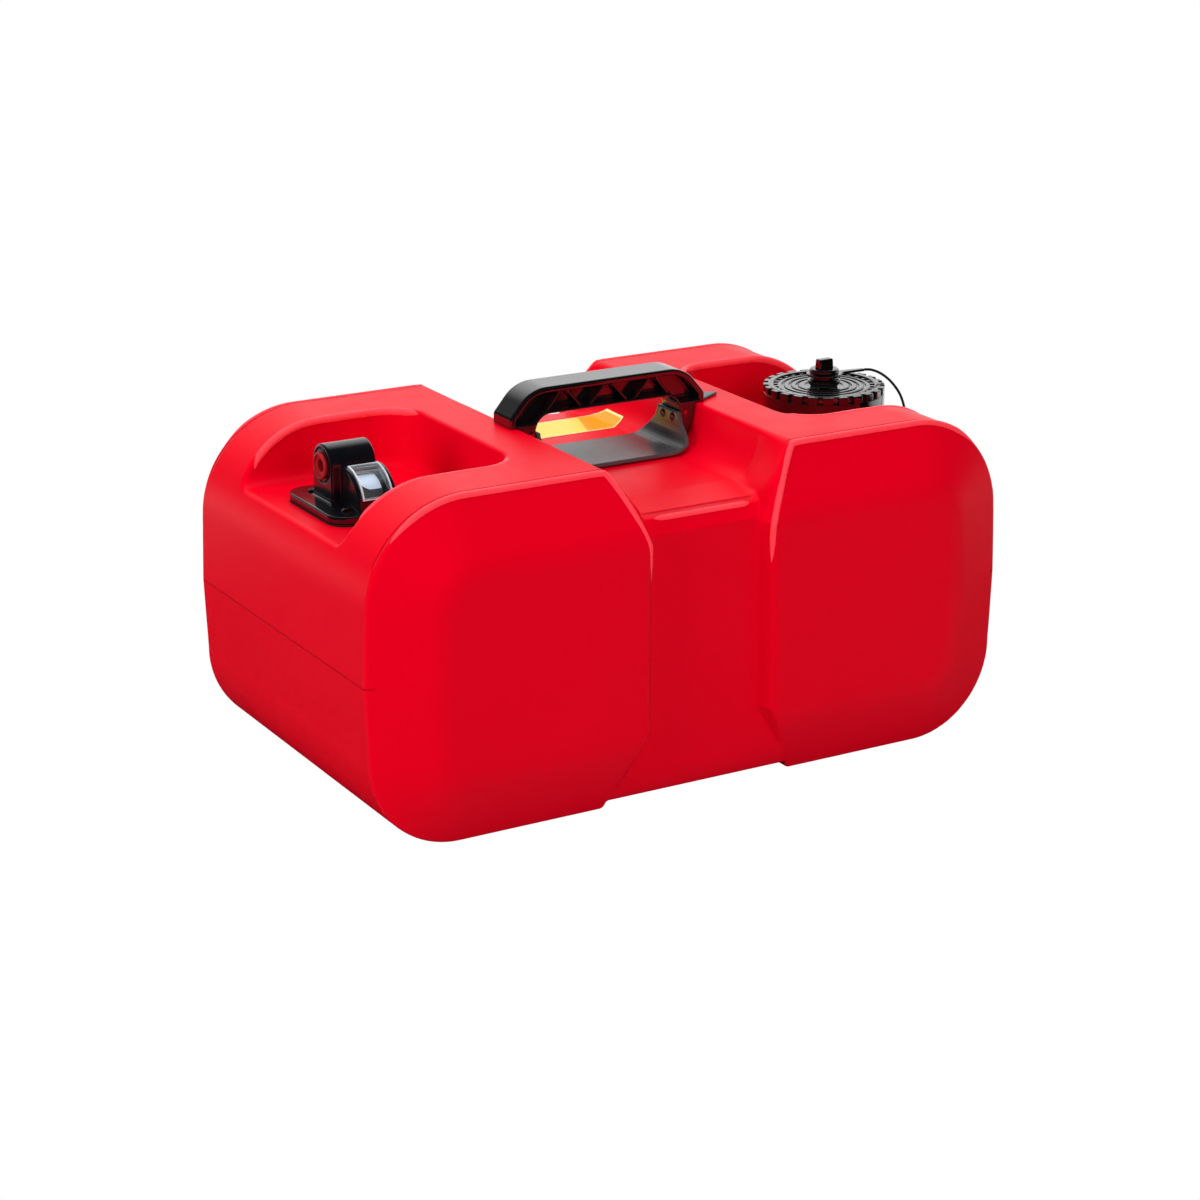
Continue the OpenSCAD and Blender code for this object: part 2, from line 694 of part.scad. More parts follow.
// Crank pin at an angle about the drum's or the arm's axis
module crank_pin() translate([drum_side, crank_r * cos(crank_a), crank_r * sin(crank_a)])
    rotate([0, 90, 0]) cylinder(r = crank_pin_r, h = link_x1 - drum_side + 0.8);

module gauge_drum() color("white") at_unit() at_drum() {
    difference() {
        translate([(drum_side - drum_x0) / 2, 0, 0]) rod_x(drum_r, drum_side + drum_x0);
        rod_x(pin_r + run_gap, 60);
        // Weight pockets in the left side
        for (a = [0:60:300]) rotate([a, 0, 0]) translate([-drum_x0, 0, drum_r * 0.58])
            rod_x(drum_r * 0.22, drum_x0 + drum_side);
    }
    crank_pin();
}

module drum_axle() color("silver") at_unit() at_drum() rod_x(pin_r, 2 * cheek_out);

module arm_axle() color("silver") at_unit() translate([0, drum_y, arm_z])
    rod_x(pin_r, 2 * cheek_out + 2);

// Light link between the two cranks; its upper eye has play
module link_rod() color([0.8, 0.8, 0.78]) at_unit()
    translate([(link_x0 + link_x1) / 2, drum_y + crank_r * cos(crank_a), crank_r * sin(crank_a)])
        difference() {
            union() {
                for (z = [arm_z, drum_z]) translate([0, 0, z]) rod_x(eye_r, link_x1 - link_x0);
                translate([0, 0, (arm_z + drum_z) / 2])
                    cube([link_x1 - link_x0, 3.6, drum_z - arm_z], center = true);
            }
            translate([0, 0, arm_z]) rod_x(crank_pin_r + run_gap, 10);
            translate([0, 0, drum_z]) rod_x(crank_pin_r + eye_play, 10);
        }

// Frame of the float arm: its axle, with X along the wire's outward run at angle 0
module at_arm() at_unit() translate([0, drum_y, arm_z]) children();

module arm_hub() color([0.15, 0.15, 0.16]) at_arm() {
    difference() {
        union() {
            translate([(drum_side - drum_x0) / 2, 0, 0]) rod_x(hub_r, drum_side + drum_x0);
            translate([drum_side - 2, crank_r * cos(crank_a), crank_r * sin(crank_a)]) rod_x(eye_r, 4);
        }
        rod_x(pin_r + run_gap, 60);
        rotate([-arm_empty, 0, 0]) translate([wire_x, pin_r + 1, 0]) rotate([-90, 0, 0])
            cylinder(r = wire_r, h = hub_r + 1);
    }
    crank_pin();
}

module float_wire() color("silver") at_arm() rotate([-arm_empty, 0, 0]) {
    translate([wire_x, pin_r + 1, 0]) rotate([-90, 0, 0])
        cylinder(r = wire_r, h = arm_l - pin_r - 1);
    translate([wire_x, arm_l, 0]) sphere(r = wire_r);
    translate([wire_x, arm_l, 0]) rotate([0, 90, 0]) cylinder(r = wire_r, h = float_l + 8);
}

module float() color([0.12, 0.12, 0.13]) at_arm() rotate([-arm_empty, 0, 0])
    translate([wire_x + 3, arm_l, 0]) rotate([0, 90, 0]) difference() {
        rotate_extrude() polygon([[0, 0], [float_r - 2, 0], [float_r, 2], [float_r, float_l - 2],
            [float_r - 2, float_l], [0, float_l]]);
        translate([0, 0, -1]) cylinder(r = wire_r + run_gap, h = float_l + 2);
    }

module float_clip() color("silver") at_arm() rotate([-arm_empty, 0, 0])
    translate([wire_x + 3 + float_l + 0.1, arm_l, 0]) rotate([0, 90, 0]) difference() {
        cylinder(r = 4, h = 1);
        translate([0, 0, -1]) cylinder(r = wire_r, h = 3);
    }

module pickup_tube() color([0.85, 0.85, 0.8]) at_unit() translate([pickup_x, pickup_y, 0])
    difference() {
        translate([0, 0, pickup_end]) cylinder(r = pickup_d / 2, h = pickup_top - pickup_end);
        translate([0, 0, pickup_end - 1]) cylinder(r = pickup_bore, h = -pickup_end);
    }

// Slotted cup that is pushed on to the tube's lower end
module pickup_filter() color([0.9, 0.9, 0.86]) at_unit()
    translate([pickup_x, pickup_y, pickup_end - 6]) difference() {
        cylinder(r = filter_r, h = filter_h);
        translate([0, 0, 1.4]) cylinder(r = filter_r - 1.2, h = filter_h - 4);
        translate([0, 0, 6]) cylinder(r = pickup_d / 2, h = filter_h);
        for (a = [0:45:315]) rotate([0, 0, a])
            translate([filter_r - 3, -1.6, 3]) cube([6, 3.2, filter_h - 8]);
    }

module outlet_plug() color("red") at_unit() translate([hood_x0, hood_y, hood_z])
    rotate([0, 90, 0]) difference() {
        union() {
            translate([0, 0, -3.4]) cylinder(r = plug_rim_r, h = 3.2);
            translate([0, 0, -1]) cylinder(r = outlet_bore / 2 - run_gap, h = 13);
        }
        translate([0, 0, -5]) cylinder(r = outlet_bore / 2 - 1.2, h = 15);
    }

tank_shell();
handle();
handle_strap();
handle_screws();
blank_label();
fill_cap();
cap_gasket();
vent_knob();
vent_seal();
tether_ring();
tether_cord();
tether_anchor();
gauge_housing();
flange_gasket();
flange_screws();
gauge_lens();
gauge_drum();
drum_axle();
link_rod();
arm_hub();
arm_axle();
float_wire();
float();
float_clip();
pickup_tube();
pickup_filter();
outlet_plug();
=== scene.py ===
"""Portable outboard fuel tank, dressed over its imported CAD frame.

Lengths in the classes are millimetres in the frame of the CAD model: the origin is on the
ground under the tank's centre, X runs from the gauge end to the filler end, the front
faces -Y and Z is up. Meshes are scaled to metres when they are made.
"""
import logging
import math
from dataclasses import dataclass
from enum import Enum
from typing import Callable, Sequence

import bmesh
import bpy
import numpy as np
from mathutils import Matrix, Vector


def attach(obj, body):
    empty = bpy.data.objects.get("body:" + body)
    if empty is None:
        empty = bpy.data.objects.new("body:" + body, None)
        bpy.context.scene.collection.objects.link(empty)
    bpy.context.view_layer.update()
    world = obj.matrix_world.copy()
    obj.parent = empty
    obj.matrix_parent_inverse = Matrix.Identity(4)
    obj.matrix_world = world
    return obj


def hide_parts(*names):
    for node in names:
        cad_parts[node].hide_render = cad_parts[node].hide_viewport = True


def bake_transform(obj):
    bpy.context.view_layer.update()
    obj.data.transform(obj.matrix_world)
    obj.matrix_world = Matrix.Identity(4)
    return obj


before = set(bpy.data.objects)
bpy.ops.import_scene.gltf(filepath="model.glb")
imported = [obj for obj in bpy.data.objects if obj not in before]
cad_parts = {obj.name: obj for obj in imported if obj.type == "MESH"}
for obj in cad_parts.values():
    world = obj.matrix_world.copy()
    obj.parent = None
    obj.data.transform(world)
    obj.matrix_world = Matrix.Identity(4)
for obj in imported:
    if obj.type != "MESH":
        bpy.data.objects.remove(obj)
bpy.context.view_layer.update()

MM = 0.001
FINE_STEP = 0.9
SHELL_STEP = 2.0
SIDES = ((-1, -1), (-1, 1), (1, -1), (1, 1))
Array = np.ndarray
FieldFunction = Callable[[Array, Array, Array], Array]
PlanFunction = Callable[[Array, Array], Array]
log = logging.getLogger("fuel_tank")


class Axis(Enum):
    """Axis that a turned piece stands on."""

    X = "X"
    Z = "Z"


# ---------------------------------------------------------------- node trees

def linear(hex_colour: str) -> tuple[float, float, float, float]:
    """Turns an sRGB hex colour into a linear one.

    Args:
        hex_colour: Colour such as "#d0011b".

    Returns:
        Linear red, green and blue, and an alpha of 1.
    """
    parts = [int(hex_colour[i:i + 2], 16) / 255 for i in (1, 3, 5)]
    return (*(c / 12.92 if c <= 0.04045 else ((c + 0.055) / 1.055) ** 2.4 for c in parts), 1.0)


def put(tree: bpy.types.NodeTree, kind: str, inputs: dict | None = None,
        **settings: object) -> bpy.types.Node:
    """Adds one node to a tree, with its settings, values and links.

    Args:
        tree: Shader or geometry tree.
        kind: Blender's name of the node type.
        inputs: What feed() takes.
        settings: Properties of the node.

    Returns:
        The new node.
    """
    node = tree.nodes.new(kind)
    for key, value in settings.items():
        setattr(node, key, value)
    feed(tree, node, inputs or {})
    return node


def feed(tree: bpy.types.NodeTree, node: bpy.types.Node, inputs: dict) -> None:
    """Sets the inputs of a node.

    Args:
        tree: Tree that holds the node.
        node: Node to set.
        inputs: Socket name or number to a value, to the socket that feeds it, or to a node
            whose first result does.
    """
    for key, value in inputs.items():
        if isinstance(value, bpy.types.Node):
            value = next(socket for socket in value.outputs if socket.enabled)
        if isinstance(value, bpy.types.NodeSocket):
            tree.links.new(value, node.inputs[key])
        else:
            node.inputs[key].default_value = value


# ------------------------------------------------------------------ finishes

@dataclass(frozen=True)
class Finish:
    """Material of the real object, made once and shared by its pieces.

    Attributes:
        name: Material and process.
        slot: Material slot; not used by this script.
    """

    name: str
    slot: str

    def build(self) -> bpy.types.Material:
        """Makes the material, or returns it if it is there.

        Returns:
            The material.
        """
        if self.name in bpy.data.materials:
            return bpy.data.materials[self.name]
        material = bpy.data.materials.new(self.name)
        material.use_nodes = True
        tree = material.node_tree
        self.paint(tree, tree.nodes["Principled BSDF"],
                   put(tree, "ShaderNodeTexCoord").outputs["Object"])
        return material

    def paint(self, tree: bpy.types.NodeTree, shader: bpy.types.Node,
              place: bpy.types.NodeSocket) -> None:
        """Adds the finish's own nodes.

        Args:
            tree: Tree of the material.
            shader: Its principled shader.
            place: Socket of the object's coordinates.
        """
        raise NotImplementedError


@dataclass(frozen=True)
class Moulded(Finish):
    """Moulded plastic or rubber: a body colour, soft flow clouds, a fine skin grain and rubs.

    Attributes:
        colour: Body colour.
        cloud: Colour of the faint flow clouds.
        roughness: Roughness of the clean skin.
        grain_mm: Size of the mould's grain.
        grain_depth: Strength of the grain's bump.
        cloud_mm: Size of the clouds.
        specular: Strength of the gloss, 0.5 for a plain polymer.
        tint: Colour of the gloss where it is seen head-on.
        coat: Strength of the flow skin's second, sharper gloss.
    """

    colour: str
    cloud: str
    roughness: float
    grain_mm: float = 1.2
    grain_depth: float = 0.1
    cloud_mm: float = 60.0
    specular: float = 0.5
    tint: str = "#ffffff"
    coat: float = 0.0

    def paint(self, tree: bpy.types.NodeTree, shader: bpy.types.Node,
              place: bpy.types.NodeSocket) -> None:
        """Adds the clouds, the rubs, the grain and the gloss.

        Args:
            tree: Tree of the material.
            shader: Its principled shader.
            place: Socket of the object's coordinates.
        """
        cloud = put(tree, "ShaderNodeTexNoise", {"Vector": place, "Scale": 1000 / self.cloud_mm,
                    "Detail": 3.0, "Roughness": 0.55})
        colour = put(tree, "ShaderNodeMix", {"Factor": cloud, "A": linear(self.colour),
                     "B": linear(self.cloud)}, data_type="RGBA")
        rub = put(tree, "ShaderNodeTexNoise", {"Vector": place, "Scale": 2800 / self.cloud_mm,
                  "Detail": 5.0, "Roughness": 0.7})
        rough = put(tree, "ShaderNodeMapRange", {"Value": rub, "From Min": 0.3, "From Max": 0.75,
                    "To Min": self.roughness - 0.03, "To Max": self.roughness + 0.06})
        grain = put(tree, "ShaderNodeTexNoise", {"Vector": place, "Scale": 1000 / self.grain_mm,
                    "Detail": 2.0, "Roughness": 0.5})
        bump = put(tree, "ShaderNodeBump", {"Height": grain, "Strength": self.grain_depth,
                   "Distance": 0.0002})
        feed(tree, shader, {"Base Color": colour, "Roughness": rough, "Normal": bump,
             "Specular IOR Level": self.specular, "Specular Tint": linear(self.tint),
             "Coat Weight": self.coat, "Coat IOR": 1.8, "Coat Roughness": 0.12})


@dataclass(frozen=True)
class Metal(Finish):
    """Plated or drawn metal: fine lines along the part and a dulled film in patches.

    Attributes:
        colour: Colour of the clean metal.
        roughness: Roughness of the clean metal.
        line_mm: Spacing of the fine lines.
    """

    colour: str
    roughness: float
    line_mm: float = 0.4

    def paint(self, tree: bpy.types.NodeTree, shader: bpy.types.Node,
              place: bpy.types.NodeSocket) -> None:
        """Adds the film and the lines.

        Args:
            tree: Tree of the material.
            shader: Its principled shader.
            place: Socket of the object's coordinates.
        """
        clean = linear(self.colour)
        film = put(tree, "ShaderNodeTexNoise", {"Vector": place, "Scale": 180.0, "Detail": 4.0})
        tint = put(tree, "ShaderNodeMix", {"Factor": film, "A": clean,
                   "B": (*(c * 0.8 for c in clean[:3]), 1.0)}, data_type="RGBA")
        rough = put(tree, "ShaderNodeMapRange", {"Value": film,
                    "To Min": self.roughness - 0.05, "To Max": self.roughness + 0.1})
        drawn = put(tree, "ShaderNodeMapping", {"Vector": place, "Scale": (1.0, 1.0, 0.05)})
        lines = put(tree, "ShaderNodeTexNoise", {"Vector": drawn, "Scale": 1000 / self.line_mm})
        bump = put(tree, "ShaderNodeBump", {"Height": lines, "Strength": 0.08,
                   "Distance": 0.0001})
        feed(tree, shader, {"Metallic": 1.0, "Base Color": tint, "Roughness": rough,
             "Normal": bump})


@dataclass(frozen=True)
class Clear(Finish):
    """Clear moulded acrylic with faint flow ripple, and a pale opaque edge that is a painted
    highlight.

    Attributes:
        roughness: Roughness of the polished faces.
    """

    roughness: float = 0.04

    def paint(self, tree: bpy.types.NodeTree, shader: bpy.types.Node,
              place: bpy.types.NodeSocket) -> None:
        """Adds the ripple and the edge's painted highlight, which the mesh marks by its attribute.

        Args:
            tree: Tree of the material.
            shader: Its principled shader.
            place: Socket of the object's coordinates.
        """
        ripple = put(tree, "ShaderNodeTexNoise", {"Vector": place, "Scale": 90.0})
        bump = put(tree, "ShaderNodeBump", {"Height": ripple, "Strength": 0.01,
                   "Distance": 0.0002})
        feed(tree, shader, {"Transmission Weight": 1.0, "IOR": 1.3, "Normal": bump,
             "Roughness": self.roughness, "Base Color": linear("#dfe5ea")})
        edge = put(tree, "ShaderNodeAttribute", attribute_name="edge")
        # Painted highlight: the lens edge is drawn pale grey and opaque
        edge_highlight = put(tree, "ShaderNodeBsdfPrincipled", {"Base Color": linear("#c4c8ce"),
                    "Roughness": 0.35})
        both = put(tree, "ShaderNodeMixShader", {0: edge.outputs["Fac"], 1: shader, 2: edge_highlight})
        feed(tree, tree.nodes["Material Output"], {"Surface": both})


@dataclass(frozen=True)
class ShellFinish(Moulded):
    """Moulded shell skin, with the mould's fine grooves beside the creases and the parting line,
    both darkened by painted shade.

    All sizes are in millimetres.

    Attributes:
        groove_y: Distance of the grooves from the middle plane.
        groove_half: Half width of a groove.
        groove_z: Heights between which the grooves fade in.
        brow_x: Distance of the deck's slanting edge from the middle, where no groove runs.
        brow_gap: Distances from that edge between which the grooves fade in.
        parting_z: Height of the parting line.
        parting_half: Half width of the parting line.
        parting_x: Distances from the middle between which the parting line fades in.
        shade: Colour of the painted shade at the bottom of the grooves and along the parting line.
    """

    groove_y: float = 139.5
    groove_half: float = 2.4
    groove_z: tuple[float, float] = (214.0, 219.0)
    brow_x: float = 62.0
    brow_gap: tuple[float, float] = (12.0, 18.0)
    parting_z: float = 130.4
    parting_half: float = 0.8
    parting_x: tuple[float, float] = (262.0, 265.0)
    # Colour of the painted shade in the grooves and along the parting line
    shade: str = "#8a0010"

    def away(self, tree: bpy.types.NodeTree, value: bpy.types.NodeSocket,
             middle: float) -> bpy.types.Node:
        """Adds the distance of a value from a middle.

        Args:
            tree: Tree of the material.
            value: Socket of the value.
            middle: Value where the distance is 0.

        Returns:
            Node of the distance.
        """
        off = put(tree, "ShaderNodeMath", {0: value, 1: middle}, operation="SUBTRACT")
        return put(tree, "ShaderNodeMath", {0: off}, operation="ABSOLUTE")

    def line(self, tree: bpy.types.NodeTree, value: bpy.types.NodeSocket, middle: float,
             half: float) -> bpy.types.Node:
        """Adds a soft line where a value passes a middle.

        Args:
            tree: Tree of the material.
            value: Socket of the value.
            middle: Value in the line's middle.
            half: Half width of the line.

        Returns:
            Node that is 1 in the middle and 0 outside the line.
        """
        return put(tree, "ShaderNodeMapRange", {"Value": self.away(tree, value, middle),
                   "From Min": 0.0, "From Max": half, "To Min": 1.0, "To Max": 0.0},
                   interpolation_type="SMOOTHSTEP")

    def paint(self, tree: bpy.types.NodeTree, shader: bpy.types.Node,
              place: bpy.types.NodeSocket) -> None:
        """Adds the grooves and the parting line to the moulded skin, both darkened by painted
        shade.

        Args:
            tree: Tree of the material.
            shader: Its principled shader.
            place: Socket of the object's coordinates.
        """
        super().paint(tree, shader, place)
        scaled = put(tree, "ShaderNodeVectorMath", {0: place, 1: (1 / MM,) * 3},
                     operation="MULTIPLY")
        part = put(tree, "ShaderNodeSeparateXYZ",
                   {0: put(tree, "ShaderNodeVectorMath", {0: scaled}, operation="ABSOLUTE")})
        groove = self.line(tree, part.outputs["Y"], self.groove_y, self.groove_half)
        above = put(tree, "ShaderNodeMapRange", {"Value": part.outputs["Z"],
                    "From Min": self.groove_z[0], "From Max": self.groove_z[1]},
                    interpolation_type="SMOOTHSTEP")
        aside = put(tree, "ShaderNodeMapRange", {
                    "Value": self.away(tree, part.outputs["X"], self.brow_x),
                    "From Min": self.brow_gap[0], "From Max": self.brow_gap[1]},
                    interpolation_type="SMOOTHSTEP")
        top = put(tree, "ShaderNodeMath", {0: above, 1: aside}, operation="MULTIPLY")
        groove = put(tree, "ShaderNodeMath", {0: groove, 1: top}, operation="MULTIPLY")
        end = put(tree, "ShaderNodeMapRange", {"Value": part.outputs["X"],
                  "From Min": self.parting_x[0], "From Max": self.parting_x[1]})
        seam = put(tree, "ShaderNodeMath", {
                   0: self.line(tree, part.outputs["Z"], self.parting_z, self.parting_half),
                   1: end}, operation="MULTIPLY")
        marks = put(tree, "ShaderNodeMath", {0: groove, 1: seam}, operation="MAXIMUM")
        # Painted shade: the skin colour is pulled towards the shade colour in the grooves and
        # along the parting line
        depth = put(tree, "ShaderNodeMath", {0: marks, 1: 0.5}, operation="MULTIPLY")
        dark = put(tree, "ShaderNodeMix", {"Factor": depth,
                   "A": shader.inputs["Base Color"].links[0].from_socket,
                   "B": linear(self.shade)}, data_type="RGBA")
        height = put(tree, "ShaderNodeMath", {0: 1.0, 1: marks}, operation="SUBTRACT")
        cut = put(tree, "ShaderNodeBump", {"Height": height, "Strength": 0.6, "Distance": 0.0012,
                  "Normal": shader.inputs["Normal"].links[0].from_socket})
        feed(tree, shader, {"Base Color": dark, "Normal": cut})


@dataclass(frozen=True)
class Film(Moulded):
    """Gloss film printed in two yellows that meet on a slanting line, with a pale border.

    Attributes:
        right: Colour right of the slanting line.
        border: Colour of the border.
        meet: Two points (x, y) in millimetres on the line where the colours meet.
    """

    right: str = "#dd9c04"
    border: str = "#f6e9a0"
    meet: tuple[tuple[float, float], tuple[float, float]] = ((42.2, 109.3), (28.4, 69.2))

    def paint(self, tree: bpy.types.NodeTree, shader: bpy.types.Node,
              place: bpy.types.NodeSocket) -> None:
        """Adds the second yellow and the border, which the mesh marks by its attribute.

        Args:
            tree: Tree of the material.
            shader: Its principled shader.
            place: Socket of the object's coordinates.
        """
        super().paint(tree, shader, place)
        (ax, ay), (bx, by) = self.meet
        length = math.hypot(bx - ax, by - ay)
        normal = ((ay - by) / length, (bx - ax) / length, 0.0)
        level = ax * normal[0] + ay * normal[1]
        side = put(tree, "ShaderNodeVectorMath", {0: place, 1: normal}, operation="DOT_PRODUCT")
        past = put(tree, "ShaderNodeMapRange", {"Value": side, "From Min": (level - 0.3) * MM,
                   "From Max": (level + 0.3) * MM})
        halves = put(tree, "ShaderNodeMix", {"Factor": past,
                     "A": shader.inputs["Base Color"].links[0].from_socket,
                     "B": linear(self.right)}, data_type="RGBA")
        rim = put(tree, "ShaderNodeAttribute", attribute_name="rim")
        near = put(tree, "ShaderNodeMapRange", {"Value": rim.outputs["Fac"], "From Min": 1.2,
                   "From Max": 1.6, "To Min": 1.0, "To Max": 0.0})
        edged = put(tree, "ShaderNodeMix", {"Factor": near, "A": halves,
                    "B": linear(self.border)}, data_type="RGBA")
        feed(tree, shader, {"Base Color": edged})


@dataclass(frozen=True)
class Dial(Moulded):
    """Drum print: a black field below a pale one, with a bowed edge between them.

    Attributes:
        ink: Colour of the printed field.
        axis: Depth and height of the drum's axis in millimetres.
        middle: Place of the drum's middle along its axis.
        edge: Angle of the pale field's lower edge over the horizon, in degrees.
        bow: Further angle of that edge at the drum's left end.
    """

    ink: str = "#0a0a0b"
    axis: tuple[float, float] = (-10.5, 222.0)
    middle: float = -205.0
    edge: float = 40.0
    bow: float = 24.0

    def paint(self, tree: bpy.types.NodeTree, shader: bpy.types.Node,
              place: bpy.types.NodeSocket) -> None:
        """Adds the printed field to the moulded drum.

        Args:
            tree: Tree of the material.
            shader: Its principled shader.
            place: Socket of the object's coordinates.
        """
        super().paint(tree, shader, place)
        part = put(tree, "ShaderNodeSeparateXYZ", {0: place})
        depth = put(tree, "ShaderNodeMath", {0: self.axis[0] * MM, 1: part.outputs["Y"]},
                    operation="SUBTRACT")
        rise = put(tree, "ShaderNodeMath", {0: part.outputs["Z"], 1: self.axis[1] * MM},
                   operation="SUBTRACT")
        angle = put(tree, "ShaderNodeMath", {0: rise, 1: depth}, operation="ARCTAN2")
        across = put(tree, "ShaderNodeMapRange", {"Value": part.outputs["X"],
                     "From Min": (self.middle - 10) * MM, "From Max": self.middle * MM,
                     "To Min": 1.0, "To Max": 0.0})
        bow = put(tree, "ShaderNodeMath", {0: across, 1: 2.0}, operation="POWER")
        lower = put(tree, "ShaderNodeMath", {0: bow, 1: math.radians(self.bow),
                    2: math.radians(self.edge)}, operation="MULTIPLY_ADD")
        pale = put(tree, "ShaderNodeMath", {0: angle, 1: lower}, operation="GREATER_THAN")
        fields = put(tree, "ShaderNodeMix", {"Factor": pale, "A": linear(self.ink),
                     "B": shader.inputs["Base Color"].links[0].from_socket}, data_type="RGBA")
        feed(tree, shader, {"Base Color": fields})


# Blow-moulded high-density polyethylene: a waxy satin skin, deep red in the mass, darkened by
# painted shade in its grooves and along its parting line
SHELL_RED = ShellFinish("hdpe_blow_moulded_red", "shell_red", "#d5001a", "#da001d", 0.36,
                        grain_mm=0.9, grain_depth=0.12, cloud_mm=90, specular=0.25,
                        tint="#ff1020")
# The same polyethylene on the raised beads: its colour is painted paler as a painted highlight,
# and its gloss is stronger
SHELL_BEAD_HIGHLIGHT = Moulded("hdpe_bead_painted_highlight", "shell_red", "#ff3a46", "#ff4450", 0.26,
                     grain_mm=0.9, grain_depth=0.08, cloud_mm=40, specular=0.5, tint="#ff1020")
# Injection-moulded polypropylene, nearly black, with a smooth bright skin
HANDLE_BLACK = Moulded("polypropylene_moulded_black", "handle_black", "#0b0b0c", "#121213", 0.18,
                       grain_mm=0.7, grain_depth=0.06, cloud_mm=40, specular=1.0, coat=0.9)
# Glass-filled nylon strap, dark grey and slightly greasy
STRAP_GREY = Moulded("nylon_moulded_grey", "strap_grey", "#39383a", "#444244", 0.22,
                     grain_mm=0.6, grain_depth=0.08, cloud_mm=25, specular=0.9)
# Injection-moulded polypropylene cap with a light mould grain
CAP_BLACK = Moulded("polypropylene_moulded_cap", "cap_black", "#080708", "#0f0e0f", 0.14,
                    grain_mm=0.8, grain_depth=0.05, cloud_mm=30, specular=1.0, coat=1.0)
# Polypropylene gauge housing, black with a faint blue cast and a smooth skin
CASE_BLACK = Moulded("polypropylene_moulded_case", "cap_black", "#08090c", "#0e0f14", 0.2,
                     grain_mm=0.7, grain_depth=0.06, cloud_mm=25, specular=0.9, coat=0.5)
# Nitrile rubber, matt
SEAL_RUBBER = Moulded("nitrile_rubber_moulded", "seal_rubber", "#161616", "#202020", 0.7,
                      grain_mm=0.5, grain_depth=0.2, cloud_mm=12)
# Soft polyurethane strap, extruded with a dull skin
CORD_BLACK = Moulded("polyurethane_extruded_black", "cord_black", "#101011", "#1a1a1b", 0.45,
                     grain_mm=0.6, grain_depth=0.1, cloud_mm=10)
# White acetal, evenly dull
DRUM_WHITE = Moulded("acetal_moulded_white", "drum_white", "#e8ebef", "#dfe3e8", 0.35,
                     grain_mm=0.6, grain_depth=0.05, cloud_mm=15)
# Acetal dial, white with a printed black field
DIAL = Dial("acetal_printed_dial", "drum_white", "#e3e9f5", "#d9e1f0", 0.35,
            grain_mm=0.6, grain_depth=0.05, cloud_mm=15)
# Natural acetal, milky
NATURAL = Moulded("acetal_moulded_natural", "natural_plastic", "#dcd9cc", "#cfcbb9", 0.4,
                  grain_mm=0.5, grain_depth=0.08, cloud_mm=15)
# Closed-cell nitrile foam float, with visible pores
FLOAT_FOAM = Moulded("nitrile_foam_cut", "float_black", "#18181a", "#26262a", 0.85,
                     grain_mm=1.4, grain_depth=0.7, cloud_mm=12)
# Red polyethylene transit plug, soft and satin
PLUG_RED = Moulded("polyethylene_moulded_plug", "plug_red", "#8e0812", "#9c0e1a", 0.4,
                   grain_mm=0.6, grain_depth=0.08, cloud_mm=10)
# Vinyl film, printed in two yellows and laid on the shell
LABEL_FILM = Film("vinyl_film_printed", "label_film", "#f2cd3e", "#f5d54c", 0.28,
                  grain_mm=0.5, grain_depth=0.04, cloud_mm=40)
# Zinc-plated steel screws and wire, bright with fine drawn lines
STEEL = Metal("steel_zinc_plated", "screw_steel", "#c9cacc", 0.25)
# Steel screws with a thin black oxide film, which stays glossy on the domed heads
STEEL_BLACK = Metal("steel_black_oxide", "screw_black", "#a6a6ab", 0.3)
# Clear acrylic window, with a painted highlight on its edge
LENS_CLEAR = Clear("acrylic_moulded_clear", "lens_clear")


# ---------------------------------------------------------------- mesh making

def add_object(name: str, data: bpy.types.ID) -> bpy.types.Object:
    """Makes an object and puts it into the scene.

    Args:
        name: Object name.
        data: Mesh, lamp or camera.

    Returns:
        The object.
    """
    item = bpy.data.objects.new(name, data)
    bpy.context.scene.collection.objects.link(item)
    return item


def set_material(mesh: bpy.types.Mesh, finish: Finish) -> None:
    """Gives a mesh one finish in place of the materials that it has."""
    mesh.materials.clear()
    mesh.materials.append(finish.build())


def dress(piece: bpy.types.Object, body: str, finish: Finish) -> None:
    """Gives a piece its material and makes it ride on a body.

    Args:
        piece: Finished object.
        body: Name of the CAD body.
        finish: Finish of the whole piece.
    """
    set_material(piece.data, finish)
    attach(piece, body)
    log.info("%s on %s: %d faces", piece.name, body, len(piece.data.polygons))


def point_values(mesh: bpy.types.Mesh, name: str, values: object, kind: str = "FLOAT") -> None:
    """Stores a value for each point of a mesh.

    Args:
        mesh: Mesh that gets the attribute.
        name: Name of the attribute.
        values: One number or vector for each point.
        kind: FLOAT or FLOAT_VECTOR.
    """
    layer = mesh.attributes.new(name, kind, "POINT")
    layer.data.foreach_set("value" if kind == "FLOAT" else "vector",
                           np.asarray(values, np.float32).ravel())


def face_out(mesh: bpy.types.Mesh, weld: float, sharp: float) -> None:
    """Joins a mesh's double points, turns its faces outwards and shades it.

    Args:
        mesh: Mesh to clean.
        weld: Distance in metres below which points are joined.
        sharp: Angle in degrees above which an edge stays sharp.
    """
    work = bmesh.new()
    work.from_mesh(mesh)
    bmesh.ops.remove_doubles(work, verts=work.verts, dist=weld)
    bmesh.ops.recalc_face_normals(work, faces=work.faces)
    work.to_mesh(mesh)
    work.free()
    mesh.shade_smooth()
    mesh.set_sharp_from_angle(angle=math.radians(sharp))


def modified_mesh(item: bpy.types.Object) -> bpy.types.Mesh:
    """Makes a plain mesh of an object with its modifiers, which are then removed.

    Args:
        item: Object with modifiers.

    Returns:
        The mesh.
    """
    mesh = bpy.data.meshes.new_from_object(
        item.evaluated_get(bpy.context.evaluated_depsgraph_get()))
    item.modifiers.clear()
    return mesh


